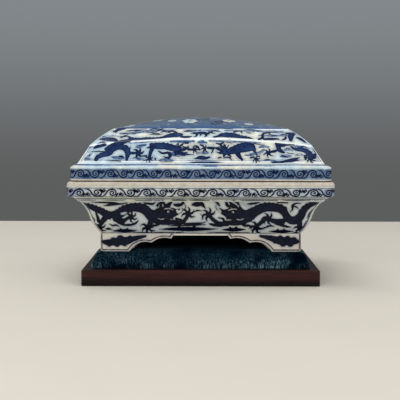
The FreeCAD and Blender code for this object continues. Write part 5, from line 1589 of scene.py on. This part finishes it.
dress("pad_board", plain("millboard", (120, 104, 84), (158, 142, 118), 700, 0.85, 0.1))
dress("pad_pegs", wood("beechPegs", False, beech, 2.0))
dress("ink_stone", plain("slate", (30, 31, 36), (62, 64, 71), 420, 0.5, 0.12, 0.35))
dress("ink_stick", plain("inkCake", (14, 14, 17), (32, 32, 37), 300, 0.32, 0.05, 0.0, 0.2))
print("materials placed")

# the table and the lights

setting = {
    "halfTable": 0.60,  # metres
    "squareness": 0.16,  # the power that cos and sin are raised to: 1 makes a circle and 0 a square
    "floor": (221, 215, 203),
    "backdropLow": (92, 93, 93),
    "backdropHigh": (130, 136, 139),
    "ambient": 0.62,
}
lamps = {  # place, what it points at and size, in metres, and power in watts
    "key": ((-0.2, -0.22, 1.4), (0, -0.05, 0.08), (1.3, 0.34), 6.5),
    "front": ((-0.55, -1.45, 0.85), (0, 0, 0.08), (0.9, 0.5), 4.5),
    "fill": ((0.95, -1.0, 0.7), (0, 0, 0.08), (0.8, 0.8), 2.0),
}


def makeTable():
    # a slab with a rounded edge, whose outline is a square with rounded corners: half its side times cos and
    # sin, each raised to a small power
    turn = np.linspace(0, 2 * math.pi, 161)[:-1]
    circle = np.stack([np.cos(turn), np.sin(turn)], -1)
    outline = np.sign(circle) * np.abs(circle) ** setting["squareness"] * setting["halfTable"] / mm
    rings = zip([0.5, 0.98, 1.0, 1.0, 0.98, 0.5], [0.0, 0.0, -3.0, -22.0, -25.0, -25.0])
    points = np.stack([np.column_stack([outline * share, np.full(len(turn), height)])
                       for share, height in rings])
    piece = makeMesh("tableTop", points[:, ::-1], None, np.array([[0, 0, 0.0], [0, 0, -25.0]]))
    material, tree, shader = newMaterial("tableCloth")
    where = place(tree)
    tone = cloudy(tree, where, 9, 3)
    colour = blend(tree, tone, linear(*setting["floor"]), linear(*[c - 6 for c in setting["floor"]]))
    fill(tree, shader, {"Base Color": colour, "Roughness": 0.85, "Specular IOR Level": 0.2})
    piece.data.materials.append(material)
    piece.data.set_sharp_from_angle(angle=math.radians(40))


def makeWorld():
    # a grey backdrop for the camera and in reflections, and an even white sky for the light
    world = bpy.data.worlds.new("studio")
    bpy.context.scene.world = world
    world.use_nodes = True
    tree = world.node_tree
    tree.nodes.clear()
    direction = addNode(tree, "ShaderNodeTexCoord").outputs["Generated"]
    rise = axis(tree, direction, 2)
    grey = blend(tree, spread(tree, rise, -0.08, 0.14), linear(*setting["backdropLow"]),
                 linear(*setting["backdropHigh"]))
    rays = addNode(tree, "ShaderNodeLightPath").outputs
    seen = calc(tree, "MAXIMUM", rays["Is Camera Ray"], rays["Is Glossy Ray"])
    backdrop = addNode(tree, "ShaderNodeBackground", {"Color": grey, "Strength": 1.0})
    sky = addNode(tree, "ShaderNodeBackground", {"Color": (1, 1, 1, 1), "Strength": setting["ambient"]})
    mix = addNode(tree, "ShaderNodeMixShader", {0: seen, 1: sky.outputs[0], 2: backdrop.outputs[0]})
    addNode(tree, "ShaderNodeOutputWorld", {"Surface": mix.outputs[0]})


def makeLamp(name, spot, target, size, power):
    # a rectangular area light that faces its target
    lamp = bpy.data.lights.new(name, "AREA")
    lamp.shape = "RECTANGLE"
    lamp.size, lamp.size_y = size
    lamp.energy = power
    holder = bpy.data.objects.new(name, lamp)
    bpy.context.scene.collection.objects.link(holder)
    holder.location = spot
    away = holder.location - type(holder.location)(target)
    holder.rotation_euler = away.to_track_quat("Z", "Y").to_euler()


makeTable()
makeWorld()
for name, lampSettings in lamps.items():
    makeLamp(name, *lampSettings)
print("stage set")
